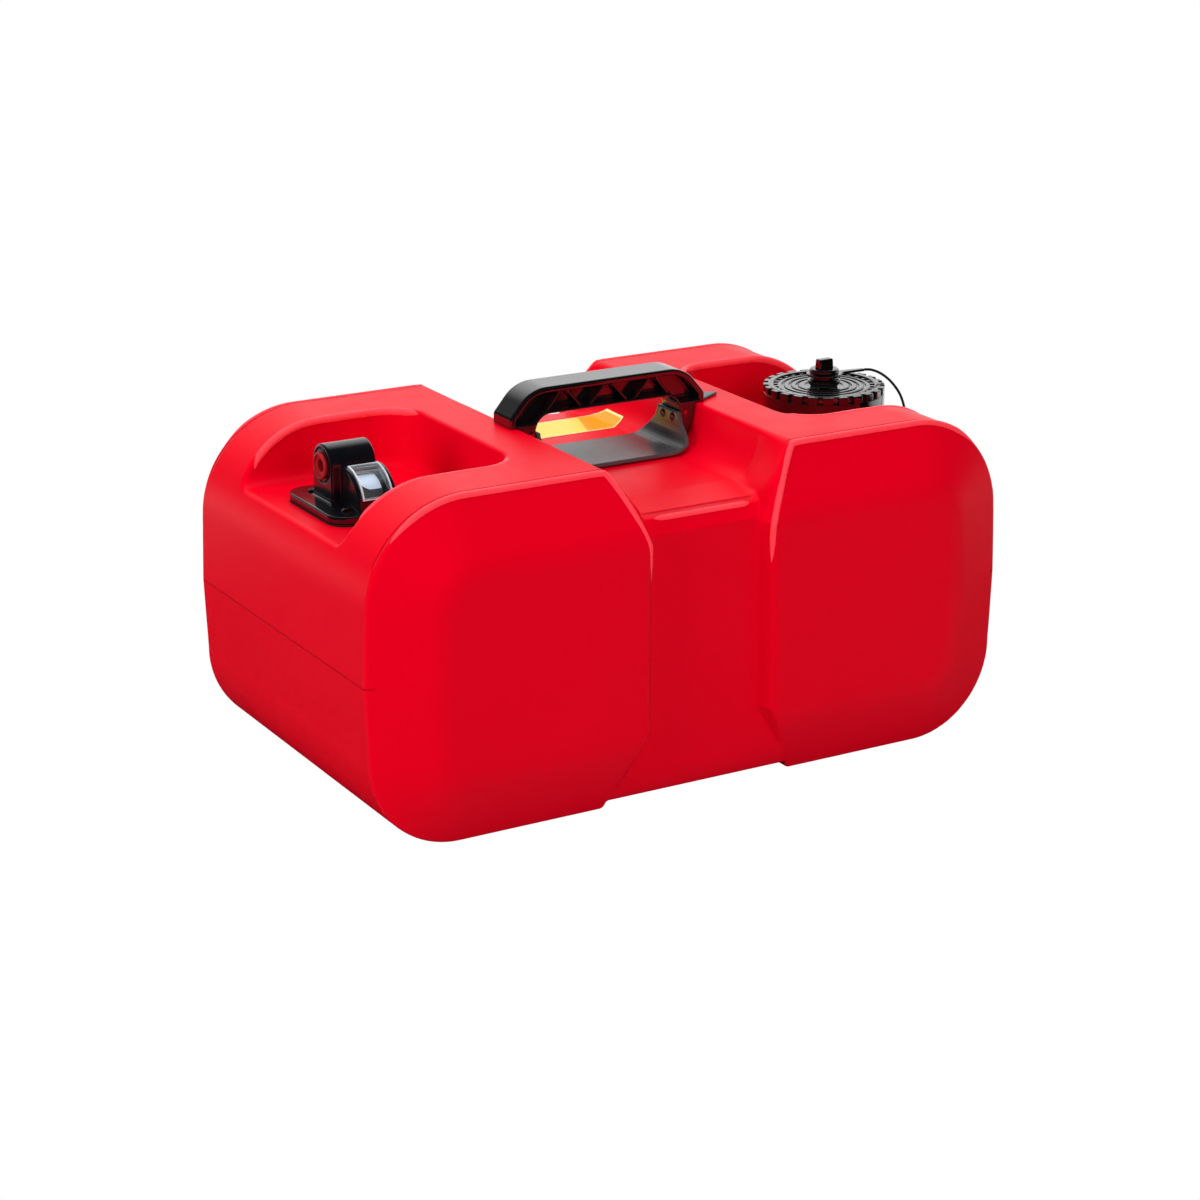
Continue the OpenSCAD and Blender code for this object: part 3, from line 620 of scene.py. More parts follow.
def mesh_object(name: str, points: Array,
                faces: Sequence[Sequence[int]]) -> bpy.types.Object:
    """Makes a mesh object of points in millimetres, welded and facing outwards.

    Args:
        name: Piece name.
        points: N x 3 array in millimetres.
        faces: Vertex numbers of each face.

    Returns:
        The object, in the scene.
    """
    mesh = bpy.data.meshes.new(name)
    mesh.from_pydata([tuple(p) for p in np.asarray(points, float) * MM], [],
                     [tuple(int(i) for i in f) for f in faces])
    face_out(mesh, 1e-6, 35.0)
    return add_object(name, mesh)


def slab(name: str, points: Sequence[Sequence[float]], rows: int,
         columns: int) -> bpy.types.Object:
    """Makes a closed slab of two grids of points, an outer one and an inner one.

    Args:
        name: Piece name.
        points: Rows of the outer grid, then those of the inner one, in millimetres.
        rows: Rows of each grid.
        columns: Points in a row.

    Returns:
        The object, in the scene.
    """
    n = rows * columns
    faces = []
    for i in range(rows - 1):
        for j in range(columns - 1):
            k = i * columns + j
            faces += [(k, k + 1, k + columns + 1, k + columns),
                      (n + k, n + k + columns, n + k + columns + 1, n + k + 1)]
    rim = (list(range(columns)) + [i * columns + columns - 1 for i in range(1, rows)]
           + [(rows - 1) * columns + j for j in range(columns - 2, -1, -1)]
           + [i * columns for i in range(rows - 2, 0, -1)])
    faces += [(a, n + a, n + b, b) for a, b in zip(rim, rim[1:] + rim[:1])]
    return mesh_object(name, np.array(points), faces)


def smooth_max(a: Array, b: Array, k: float) -> Array:
    """Maximum of two fields with the corner between them blended over k."""
    h = np.clip(0.5 + 0.5 * (a - b) / k, 0, 1)
    return b + (a - b) * h + k * h * (1 - h)


def smooth_min(a: Array, b: Array, k: float) -> Array:
    """Minimum of two fields with the corner between them blended over k."""
    return -smooth_max(-a, -b, k)


def corner(a: Array, b: Array) -> Array:
    """Distance outside the corner where two fields are both below 0."""
    return np.minimum(np.maximum(a, b), 0) + np.hypot(np.maximum(a, 0), np.maximum(b, 0))


def round_max(a: Array, b: Array, r: float | Array) -> Array:
    """Maximum of two fields with a true fillet of radius r between them."""
    return corner(a + r, b + r) - r


def gradient(f: FieldFunction, p: Array, h: float = 0.05) -> Array:
    """Finds the gradient of a field at points.

    Args:
        f: Field of x, y and z.
        p: N x 3 points.
        h: Half step of the differences.

    Returns:
        N x 3 gradient, not normalised.
    """
    out = np.empty_like(p)
    for i in range(3):
        d = np.zeros(3)
        d[i] = h
        out[:, i] = (f(*(p + d).T) - f(*(p - d).T)) / (2 * h)
    return out


def settle(f: FieldFunction, p: Array, rounds: int = 3, limit: float = 1.5) -> Array:
    """Moves points on to the surface where a field is zero.

    Args:
        f: Field of x, y and z.
        p: N x 3 points near the surface.
        rounds: Newton steps.
        limit: Furthest that a point moves in one step.

    Returns:
        The moved points.
    """
    p = p.astype(float)
    for _ in range(rounds):
        g = gradient(f, p)
        move = f(*p.T)[:, None] * g / np.maximum((g * g).sum(1), 0.05)[:, None]
        length = np.linalg.norm(move, axis=1)[:, None]
        p = p - move * np.minimum(1, limit / np.maximum(length, 1e-9))
    return p


def surface_nets(f: FieldFunction, low: Sequence[float], high: Sequence[float],
                 step: float) -> tuple[Array, Array]:
    """Wraps the surface where a field is zero in quads, on a regular grid.

    Args:
        f: Field of x, y and z, negative inside the solid.
        low: Lowest corner of the grid.
        high: Highest corner of the grid.
        step: Grid spacing.

    Returns:
        Points, and quads that face outwards.
    """
    axes = [np.arange(low[i], high[i] + step, step) for i in range(3)]
    values = np.empty([len(a) for a in axes], np.float32)
    for i, x in enumerate(axes[0]):
        y, z = np.meshgrid(axes[1], axes[2], indexing="ij")
        values[i] = f(np.full_like(y, x), y, z)
    inside = values < 0
    cells = np.zeros([n - 1 for n in values.shape], np.uint8)
    corners = [(i, j, k) for i in (0, 1) for j in (0, 1) for k in (0, 1)]
    size = cells.shape
    for i, j, k in corners:
        cells += inside[i:size[0] + i, j:size[1] + j, k:size[2] + k]
    mixed = np.argwhere((cells > 0) & (cells < 8))
    number = np.full(size, -1, np.int64)
    number[tuple(mixed.T)] = np.arange(len(mixed))
    total = np.zeros((len(mixed), 3))
    count = np.zeros(len(mixed))
    for a in range(8):
        for b in range(a + 1, 8):
            ca, cb = np.array(corners[a]), np.array(corners[b])
            if np.abs(ca - cb).sum() != 1:
                continue
            va = values[tuple((mixed + ca).T)]
            vb = values[tuple((mixed + cb).T)]
            cross = (va < 0) != (vb < 0)
            t = np.where(cross, va / np.where(cross, va - vb, 1), 0)
            total += np.where(cross[:, None], ca + t[:, None] * (cb - ca), 0)
            count += cross
    points = np.array(low) + step * (mixed + total / count[:, None])
    quads = []
    for axis in range(3):
        u, v = (axis + 1) % 3, (axis + 2) % 3
        first = [slice(None)] * 3
        second = [slice(None)] * 3
        first[axis], second[axis] = slice(None, -1), slice(1, None)
        for other in (u, v):
            first[other] = second[other] = slice(1, -1)
        a, b = inside[tuple(first)], inside[tuple(second)]
        for leaving in (True, False):
            at = np.argwhere(a & ~b if leaving else ~a & b)
            at[:, u] += 1
            at[:, v] += 1
            ring = []
            for du, dv in ((1, 1), (0, 1), (0, 0), (1, 0)):
                c = at.copy()
                c[:, u] -= du
                c[:, v] -= dv
                ring.append(number[tuple(c.T)])
            quads.append(np.stack(ring if leaving else ring[::-1], 1))
    return points, np.concatenate(quads)


def field_object(name: str, f: FieldFunction, low: Sequence[float], high: Sequence[float],
                 step: float, most: int) -> bpy.types.Object:
    """Makes a moulded piece from a field: wrapped, thinned out, settled and shaded by it.

    Args:
        name: Piece name.
        f: Field of x, y and z in millimetres, negative inside.
        low: Lowest corner of the grid.
        high: Highest corner of the grid.
        step: Grid spacing in millimetres.
        most: Most triangles to keep.

    Returns:
        The object, in the scene.
    """
    points, quads = surface_nets(f, low, high, step)
    points = settle(f, points, 2)
    mesh = bpy.data.meshes.new(name)
    mesh.vertices.add(len(points))
    mesh.vertices.foreach_set("co", (points * MM).astype(np.float32).ravel())
    mesh.loops.add(quads.size)
    mesh.loops.foreach_set("vertex_index", quads.astype(np.int32).ravel())
    mesh.polygons.add(len(quads))
    mesh.polygons.foreach_set("loop_start", np.arange(0, quads.size, 4, dtype=np.int32))
    mesh.update(calc_edges=True)
    mesh.validate()
    piece = add_object(name, mesh)
    if 2 * len(quads) > most:
        thin = piece.modifiers.new("thin", "DECIMATE")
        thin.ratio = most / (2 * len(quads))
        piece.data = modified_mesh(piece)
        bpy.data.meshes.remove(mesh)
        mesh = piece.data
        mesh.name = name
    co = np.empty(len(mesh.vertices) * 3, np.float32)
    mesh.vertices.foreach_get("co", co)
    points = settle(f, co.reshape(-1, 3) / MM, 2)
    mesh.vertices.foreach_set("co", (points * MM).astype(np.float32).ravel())
    normals = gradient(f, points, 0.3)
    normals /= np.maximum(np.linalg.norm(normals, axis=1), 1e-6)[:, None]
    mesh.shade_smooth()
    mesh.normals_split_custom_set_from_vertices([tuple(n) for n in normals])
    mesh.update()
    return piece


def fillet(points: Sequence[tuple[float, float, float]], closed: bool = False,
           steps: int = 5) -> list[tuple[float, float]]:
    """Rounds the corners of a polyline.

    Args:
        points: (x, y, radius) of each corner.
        closed: Whether the last point joins the first.
        steps: Segments of each rounded corner.

    Returns:
        Points of the rounded line.
    """
    out: list[tuple[float, float]] = []
    n = len(points)
    for i, (x, y, r) in enumerate(points):
        p = Vector((x, y))
        if r <= 0 or (not closed and i in (0, n - 1)):
            out.append((x, y))
            continue
        a = Vector(points[i - 1][:2]) - p
        b = Vector(points[(i + 1) % n][:2]) - p
        half = a.angle(b) / 2
        if half > math.radians(89):
            out.append((x, y))
            continue
        cut = min(r / math.tan(half), 0.48 * a.length, 0.48 * b.length)
        radius = cut * math.tan(half)
        centre = p + (a.normalized() + b.normalized()).normalized() * (radius / math.sin(half))
        start, end = p + a.normalized() * cut - centre, p + b.normalized() * cut - centre
        turn = math.atan2(start.x * end.y - start.y * end.x, start.dot(end))
        for k in range(steps + 1):
            t = turn * k / steps
            out.append((centre.x + start.x * math.cos(t) - start.y * math.sin(t),
                        centre.y + start.x * math.sin(t) + start.y * math.cos(t)))
    return out


def revolve(name: str, profile: Sequence[tuple[float, float]], centre: Sequence[float],
            segments: int = 96, axis: Axis = Axis.Z, closed: bool = True) -> bpy.types.Object:
    """Turns a profile of radius and height about an axis.

    Args:
        name: Piece name.
        profile: (radius, height) points. A closed profile is a ring in section.
        centre: Point on the axis at height 0.
        segments: Steps round the axis.
        axis: Axis that the height runs along.
        closed: Whether the last point joins the first.

    Returns:
        The object, in the scene.
    """
    angles = np.linspace(0, 2 * math.pi, segments, endpoint=False)
    rings = []
    for r, h in profile:
        ring = np.stack([r * np.cos(angles), r * np.sin(angles), np.full(segments, h)], 1)
        rings.append(ring if axis is Axis.Z else ring[:, [2, 0, 1]])
    n = len(profile)
    faces = []
    for i in range(n if closed else n - 1):
        j = (i + 1) % n
        for k in range(segments):
            m = (k + 1) % segments
            face = [i * segments + k, i * segments + m, j * segments + m, j * segments + k]
            if profile[i][0] < 1e-6:
                face = face[1:]
            elif profile[j][0] < 1e-6:
                face = face[:3]
            if profile[i][0] > 1e-6 or profile[j][0] > 1e-6:
                faces.append(face)
    return mesh_object(name, np.concatenate(rings) + np.array(centre), faces)


# ------------------------------------------------------------- geometry trees

@dataclass
class PieceTree:
    """A geometry tree with named inputs, run once on an object and turned into plain mesh.

    Attributes:
        name: Name of the tree.
    """

    name: str

    def __post_init__(self) -> None:
        """Makes the empty tree with its geometry sockets."""
        self.tree = bpy.data.node_groups.new(self.name, "GeometryNodeTree")
        for way in ("INPUT", "OUTPUT"):
            self.tree.interface.new_socket("Geometry", in_out=way,
                                           socket_type="NodeSocketGeometry")
        self.values: dict[str, float] = {}

    def number(self, name: str, value: float) -> None:
        """Adds a named number input with the value that the piece uses."""
        self.tree.interface.new_socket(name, in_out="INPUT", socket_type="NodeSocketFloat")
        self.values[name] = value

    def begin(self) -> bpy.types.Node:
        """Adds the node that holds the inputs."""
        return put(self.tree, "NodeGroupInput")

    def run(self, name: str, source: bpy.types.Object, result: bpy.types.Node,
            finish: Finish) -> bpy.types.Object:
        """Ends the tree, runs it on an object and keeps the plain mesh.

        Args:
            name: Piece name.
            source: Object that carries the modifier. It is removed.
            result: Node of the geometry that the tree makes.
            finish: Finish of the piece.

        Returns:
            The new object, in the scene.
        """
        real = put(self.tree, "GeometryNodeRealizeInstances", {"Geometry": result})
        dressed = put(self.tree, "GeometryNodeSetMaterial", {"Geometry": real,
                      "Material": finish.build()})
        put(self.tree, "NodeGroupOutput", {0: dressed})
        modifier = source.modifiers.new(self.name, "NODES")
        modifier.node_group = self.tree
        for item in self.tree.interface.items_tree:
            if item.item_type == "SOCKET" and item.name in self.values:
                modifier[item.identifier] = self.values[item.name]
        source.update_tag()
        bpy.context.view_layer.update()
        mesh = modified_mesh(source)
        bpy.data.objects.remove(source)
        mesh.name = name
        face_out(mesh, 1e-7, 40.0)
        return add_object(name, mesh)


def line_object(name: str, lines: Sequence[Array],
                radii: Sequence[Array] | None = None) -> bpy.types.Object:
    """Makes an object of bare polylines, with a thickness at each point.

    Args:
        name: Object name.
        lines: Points of each line in millimetres.
        radii: Thickness of each point as a share of the tree's radius.

    Returns:
        The object, in the scene.
    """
    mesh = bpy.data.meshes.new(name)
    points, edges, start = [], [], 0
    for line in lines:
        points += [tuple(p) for p in np.asarray(line) * MM]
        edges += [(start + i, start + i + 1) for i in range(len(line) - 1)]
        start += len(line)
    mesh.from_pydata(points, edges, [])
    point_values(mesh, "share", np.concatenate(radii or [np.ones(len(a)) for a in lines]))
    return add_object(name, mesh)


def swept_bead(name: str, lines: Sequence[Array], radii: Sequence[Array] | None,
               radius: float, finish: Finish, sides: int) -> bpy.types.Object:
    """Sweeps a round bead along lines with a geometry tree.

    Args:
        name: Piece name.
        lines: Points of each line in millimetres.
        radii: Thickness of each point as a share of the radius.
        radius: Radius of the bead in millimetres.
        finish: Finish of the piece.
        sides: Sides of the bead's section.

    Returns:
        The object, in the scene.
    """
    tree = PieceTree(name + "_sweep")
    tree.number("Radius", radius * MM)
    start = tree.begin()
    share = put(tree.tree, "GeometryNodeInputNamedAttribute", {"Name": "share"},
                data_type="FLOAT")
    curve = put(tree.tree, "GeometryNodeMeshToCurve", {"Mesh": start.outputs["Geometry"]})
    ring = put(tree.tree, "GeometryNodeCurvePrimitiveCircle", {"Resolution": sides,
               "Radius": start.outputs["Radius"]})
    swept = put(tree.tree, "GeometryNodeCurveToMesh", {"Curve": curve, "Profile Curve": ring,
                "Scale": share.outputs["Attribute"], "Fill Caps": True})
    return tree.run(name, line_object(name + "_line", lines, radii), swept, finish)


def smooth_line(points: Sequence[Sequence[float]], step: float) -> Array:
    """Runs a smooth line through points and spaces it evenly.

    Args:
        points: Points that the line passes.
        step: Spacing of the new points.

    Returns:
        M x 3 array.
    """
    p = np.asarray(points, float)
    fine = []
    for i in range(len(p) - 1):
        p0, p1, p2, p3 = p[max(i - 1, 0)], p[i], p[i + 1], p[min(i + 2, len(p) - 1)]
        for t in np.linspace(0, 1, 20, endpoint=False):
            fine.append(0.5 * (2 * p1 + (p2 - p0) * t + (2 * p0 - 5 * p1 + 4 * p2 - p3) * t * t
                               + (3 * p1 - p0 - 3 * p2 + p3) * t ** 3))
    fine = np.array(fine + [p[-1]])
    run = np.concatenate([[0], np.cumsum(np.linalg.norm(np.diff(fine, axis=0), axis=1))])
    at = np.linspace(0, run[-1], max(int(run[-1] / step), 2) + 1)
    return np.stack([np.interp(at, run, fine[:, i]) for i in range(3)], 1)


# ------------------------------------------------------------- plan distances

def line_distance(points: Sequence[tuple[float, float]]) -> PlanFunction:
    """Makes the distance to an open line of straight pieces.

    Args:
        points: Points of the line in order.

    Returns:
        Function of two coordinates.
    """
    line = np.asarray(points, float)

    def distance(u: Array, v: Array) -> Array:
        """Distance of points from the line.

        Args:
            u: First coordinates of the points.
            v: Second coordinates of the points.

        Returns:
            Distance of each point.
        """
        best = np.full(np.shape(u), 1e9)
        for (au, av), (bu, bv) in zip(line[:-1], line[1:]):
            du, dv = bu - au, bv - av
            t = np.clip(((u - au) * du + (v - av) * dv) / (du * du + dv * dv + 1e-12), 0, 1)
            best = np.minimum(best, (u - au - t * du) ** 2 + (v - av - t * dv) ** 2)
        return np.sqrt(best)

    return distance


def polygon_distance(points: Sequence[tuple[float, float]]) -> PlanFunction:
    """Makes the signed distance to a closed polygon.

    Args:
        points: Corners in order.

    Returns:
        Function of two coordinates, negative inside.
    """
    corners = np.asarray([*points, points[0]], float)
    edge_distance = line_distance(corners)

    def distance(u: Array, v: Array) -> Array:
        """Signed distance of points from the polygon.

        Args:
            u: First coordinates of the points.
            v: Second coordinates of the points.

        Returns:
            Distance of each point.
        """
        inside = np.zeros(np.shape(u), bool)
        for (au, av), (bu, bv) in zip(corners[:-1], corners[1:]):
            if abs(bv - av) > 1e-9:
                inside ^= ((av > v) != (bv > v)) & (u < (bu - au) * (v - av) / (bv - av) + au)
        return np.where(inside, -1, 1) * edge_distance(u, v)

    return distance


def rounded_box(u: Array, v: Array, half_u: float, half_v: float, r: float) -> Array:
    """Signed distance to a centred rectangle with corner radius r."""
    return corner(np.abs(u) - half_u + r, np.abs(v) - half_v + r) - r


def both_sides(half: Sequence[tuple[float, float]]) -> list[tuple[float, float]]:
    """Closes a half outline over the axis of its first coordinate."""
    return list(half) + [(-u, v) for u, v in reversed(list(half))]


def ring_of(name: str, item: bpy.types.Object, count: int, centre: Sequence[float],
            finish: Finish) -> bpy.types.Object:
    """Repeats an item round a vertical axis with a geometry tree.

    Args:
        name: Piece name.
        item: Object made about the axis. It is removed.
        count: Number of repeats.
        centre: Point on the axis in millimetres.
        finish: Finish of the piece.

    Returns:
        The object, in the scene.
    """
    tree = PieceTree(name + "_ring")
    tree.number("Count", count)
    start = tree.begin()
    line = put(tree.tree, "GeometryNodeMeshLine", {"Count": start.outputs["Count"],
               "Offset": (0.0, 0.0, 0.0)})
    step = put(tree.tree, "ShaderNodeMath", {0: 2 * math.pi, 1: start.outputs["Count"]},
               operation="DIVIDE")
    index = put(tree.tree, "GeometryNodeInputIndex")
    angle = put(tree.tree, "ShaderNodeMath", {0: index, 1: step}, operation="MULTIPLY")
    turn = put(tree.tree, "ShaderNodeCombineXYZ", {"Z": angle})
    source = put(tree.tree, "GeometryNodeObjectInfo", {"Object": item})
    set_out = put(tree.tree, "GeometryNodeInstanceOnPoints", {"Points": line,
                  "Instance": source.outputs["Geometry"], "Rotation": turn})
    moved = put(tree.tree, "GeometryNodeTransform", {"Geometry": set_out,
                "Translation": tuple(Vector(centre) * MM)})
    piece = tree.run(name, line_object(name + "_seed", [np.zeros((2, 3))]), moved, finish)
    bpy.data.objects.remove(item)
    return piece


def set_at(name: str, item: bpy.types.Object, places: Sequence[Sequence[float]],
           headings: Sequence[Sequence[float]], finish: Finish) -> bpy.types.Object:
    """Sets copies of an item on points, turned to their headings, with a geometry tree.

    Args:
        name: Piece name.
        item: Object about the origin, its head towards +Z. It is removed.
        places: Points in millimetres.
        headings: Direction of the head at each point.
        finish: Finish of the piece.

    Returns:
        The object, in the scene.
    """
    mesh = bpy.data.meshes.new(name + "_places")
    mesh.from_pydata([tuple(Vector(p) * MM) for p in places], [], [])
    point_values(mesh, "heading", headings, "FLOAT_VECTOR")
    tree = PieceTree(name + "_set")
    tree.number("Scale", 1.0)
    start = tree.begin()
    facing = put(tree.tree, "GeometryNodeInputNamedAttribute", {"Name": "heading"},
                 data_type="FLOAT_VECTOR")
    turn = put(tree.tree, "FunctionNodeAlignRotationToVector",
               {"Vector": facing.outputs["Attribute"]}, axis="Z")
    shape = put(tree.tree, "GeometryNodeObjectInfo", {"Object": item})
    points = put(tree.tree, "GeometryNodeMeshToPoints", {"Mesh": start.outputs["Geometry"]})
    put_on = put(tree.tree, "GeometryNodeInstanceOnPoints", {"Points": points,
                 "Instance": shape.outputs["Geometry"], "Rotation": turn,
                 "Scale": start.outputs["Scale"]})
    piece = tree.run(name, add_object(name + "_places", mesh), put_on, finish)
    bpy.data.objects.remove(item)
    return piece


def screw(name: str, head_r: float, head_h: float, length: float,
          shank_r: float) -> bpy.types.Object:
    """Makes a domed cross-recessed screw about the origin, its head above z = 0.

    Args:
        name: Object name.
        head_r: Radius of the head at its foot.
        head_h: Height of the head.
        length: Length of the shank.
        shank_r: Radius of the shank.

    Returns:
        The object, in the scene.
    """
    step, pitch, slot_half, slot_depth = 0.4, 1.4, 0.65, 0.7
    bow = (head_r ** 2 + head_h ** 2) / (2 * head_h) * 1.05

    def body(x: Array, y: Array, z: Array) -> Array:
        """Field of the screw.

        Args:
            x: Coordinates along the tank.
            y: Coordinates from the front to the back.
            z: Heights.

        Returns:
            Value at each point, negative inside.
        """
        r = np.hypot(x, y)
        dome = np.sqrt(r * r + (z - head_h + bow) ** 2) - bow
        head = round_max(np.maximum(dome, -z), r - head_r, 0.4)
        thread = 0.15 * np.abs((z % pitch) - pitch / 2)
        shank = np.maximum(r - shank_r - thread,
                           np.abs(z + length / 2 - 0.2) - length / 2 - 0.2)
        cross = np.minimum(np.maximum(np.abs(x) - slot_half, np.abs(y) - head_r * 0.55),
                           np.maximum(np.abs(y) - slot_half, np.abs(x) - head_r * 0.55))
        recess = np.maximum(cross, head_h * (1 - slot_depth) - z)
        return smooth_max(np.minimum(head, shank), -recess, 0.3)

    reach = head_r + 2 * step
    return field_object(name, body, (-reach, -reach, -length - 2 * step),
                        (reach, reach, head_h + 2 * step), step, 6000)


# --------------------------------------------------------------------- studio

@dataclass
class Studio:
    """White sweep, soft lamps and the camera of the photograph.

    Attributes:
        place: Camera position in millimetres.
        azimuth: Heading of the camera in degrees.
        elevation: Height of the camera over the horizon in degrees.
        lens: Focal length on a 36 mm sensor.
        glow: Strength of the surround and the floor where gloss shows them.
    """

    place: tuple[float, float, float] = (-1063.60, -1831.37, 816.36)
    azimuth: float = -30.146
    elevation: float = 18.459
    lens: float = 86.51
    glow: float = 0.85

    def camera(self) -> None:
        """Adds the camera and makes it the scene's."""
        data = bpy.data.cameras.new("camera")
        data.lens = self.lens
        data.sensor_width = 36.0
        data.clip_end = 30.0
        camera = add_object("camera", data)
        camera.location = Vector(self.place) * MM
        camera.rotation_euler = (math.radians(90 - self.elevation), 0, math.radians(self.azimuth))
        bpy.context.scene.camera = camera

    def world(self) -> None:
        """Makes a surround that is white to the camera and lights and glosses from one side."""
        world = bpy.data.worlds.new("studio")
        bpy.context.scene.world = world
        world.use_nodes = True
        tree = world.node_tree
        tree.nodes.clear()
        path = put(tree, "ShaderNodeLightPath")
        seen = put(tree, "ShaderNodeMath", {0: path.outputs["Is Camera Ray"],
                   1: path.outputs["Is Transmission Ray"]}, operation="MAXIMUM")
        heading = put(tree, "ShaderNodeVectorMath",
                      {0: put(tree, "ShaderNodeTexCoord").outputs["Generated"],
                       1: (0.7, 1.0, 0.3)}, operation="DOT_PRODUCT")
        sweep = put(tree, "ShaderNodeMapRange", {"Value": heading, "From Min": 0.65,
                    "From Max": 1.15, "To Min": 0.0, "To Max": self.glow},
                    interpolation_type="SMOOTHSTEP")
        gloss = put(tree, "ShaderNodeBackground", {"Color": linear("#ffffff"), "Strength": sweep})
        white = put(tree, "ShaderNodeBackground", {"Color": linear("#ffffff"), "Strength": 1.0})
        final = put(tree, "ShaderNodeMixShader", {0: seen, 1: gloss, 2: white})
        put(tree, "ShaderNodeOutputWorld", {"Surface": final})

    def floor(self) -> None:
        """Lays a plain floor that looks white to the camera and keeps the soft shadow."""
        mesh = bpy.data.meshes.new("floor")
        half = 6.0
        mesh.from_pydata([(-half, -half, 0), (half, -half, 0), (half, half, 0), (-half, half, 0)],
                         [], [(0, 1, 2, 3)])
        floor = add_object("floor", mesh)
        floor.location.z = -0.0002
        material = bpy.data.materials.new("floor_paper")
        material.use_nodes = True
        tree = material.node_tree
        tree.nodes.clear()
        path = put(tree, "ShaderNodeLightPath")
        paper = put(tree, "ShaderNodeBsdfDiffuse", {"Color": linear("#bdbdbd")})
        place = put(tree, "ShaderNodeVectorMath",
                    {0: put(tree, "ShaderNodeTexCoord").outputs["Object"], 1: (0.7, 1.0, 0.0)},
                    operation="DOT_PRODUCT")
        sweep = put(tree, "ShaderNodeMapRange", {"Value": place, "From Min": 0.25,
                    "From Max": 0.9, "To Min": 0.0, "To Max": self.glow})
        gloss = put(tree, "ShaderNodeEmission", {"Color": linear("#ffffff"), "Strength": sweep})
        white = put(tree, "ShaderNodeEmission", {"Color": linear("#ffffff"), "Strength": 1.0})
        lit = put(tree, "ShaderNodeMixShader", {0: path.outputs["Is Glossy Ray"], 1: paper,
                  2: gloss})
        seen = put(tree, "ShaderNodeMixShader", {0: path.outputs["Is Camera Ray"], 1: lit,
                   2: white})
        put(tree, "ShaderNodeOutputMaterial", {"Surface": seen})
        mesh.materials.append(material)

    def lamp(self, name: str, place: Sequence[float], aim: Sequence[float], size: float,
             power: float) -> None:
        """Adds a soft square lamp that gloss doesn't show.

        Args:
            name: Lamp name.
            place: Position in metres.
            aim: Point that it faces, in metres.
            size: Side length in metres.
            power: Power in watts.
        """
        data = bpy.data.lights.new(name, "AREA")
        data.size = size
        data.energy = power
        lamp = add_object(name, data)
        lamp.location = place
        lamp.visible_glossy = False
        lamp.rotation_euler = (Vector(aim) - Vector(place)).to_track_quat("-Z", "Y").to_euler()

    def build(self) -> None:
        """Builds the world, the floor and the lamps."""
        bpy.context.scene.view_settings.view_transform = "Standard"
        self.world()
        self.floor()
        self.lamp("overhead", (0.1, 0.3, 2.0), (0, 0, 0.1), 1.8, 44)
        self.lamp("front", (-0.1, -2.3, 1.0), (0, 0, 0.12), 1.6, 37)
        self.lamp("side", (-2.3, -0.3, 0.9), (0, 0, 0.12), 1.2, 40)


# ------------------------------------------------------------------ the tether

@dataclass
class Tether:
    """Thin strap from the ring's tab over the cap's rim down to its anchor.

    Attributes:
        route: Points that the strap follows.
        radius: Radius of the strap.
    """

    route: tuple[tuple[float, float, float], ...] = (
        (241.2, -3.8, 263.6), (247, -6, 263), (253, -11, 260), (258, -18, 254), (261, -26, 245),
        (260, -34, 234), (255, -40, 226.5), (250.6, -41.7, 222.5), (250, -42, 219.5))
    radius: float = 1.05

    def build(self) -> None:
        line = smooth_line(self.route, 2.0)
        cord = swept_bead("tether_strap", [line], None, self.radius, CORD_BLACK, 12)
        set_material(cord.data, CORD_BLACK)
        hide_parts("tether_cord")
        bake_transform(cord)


# ------------------------------------------------------- the handle and its strap

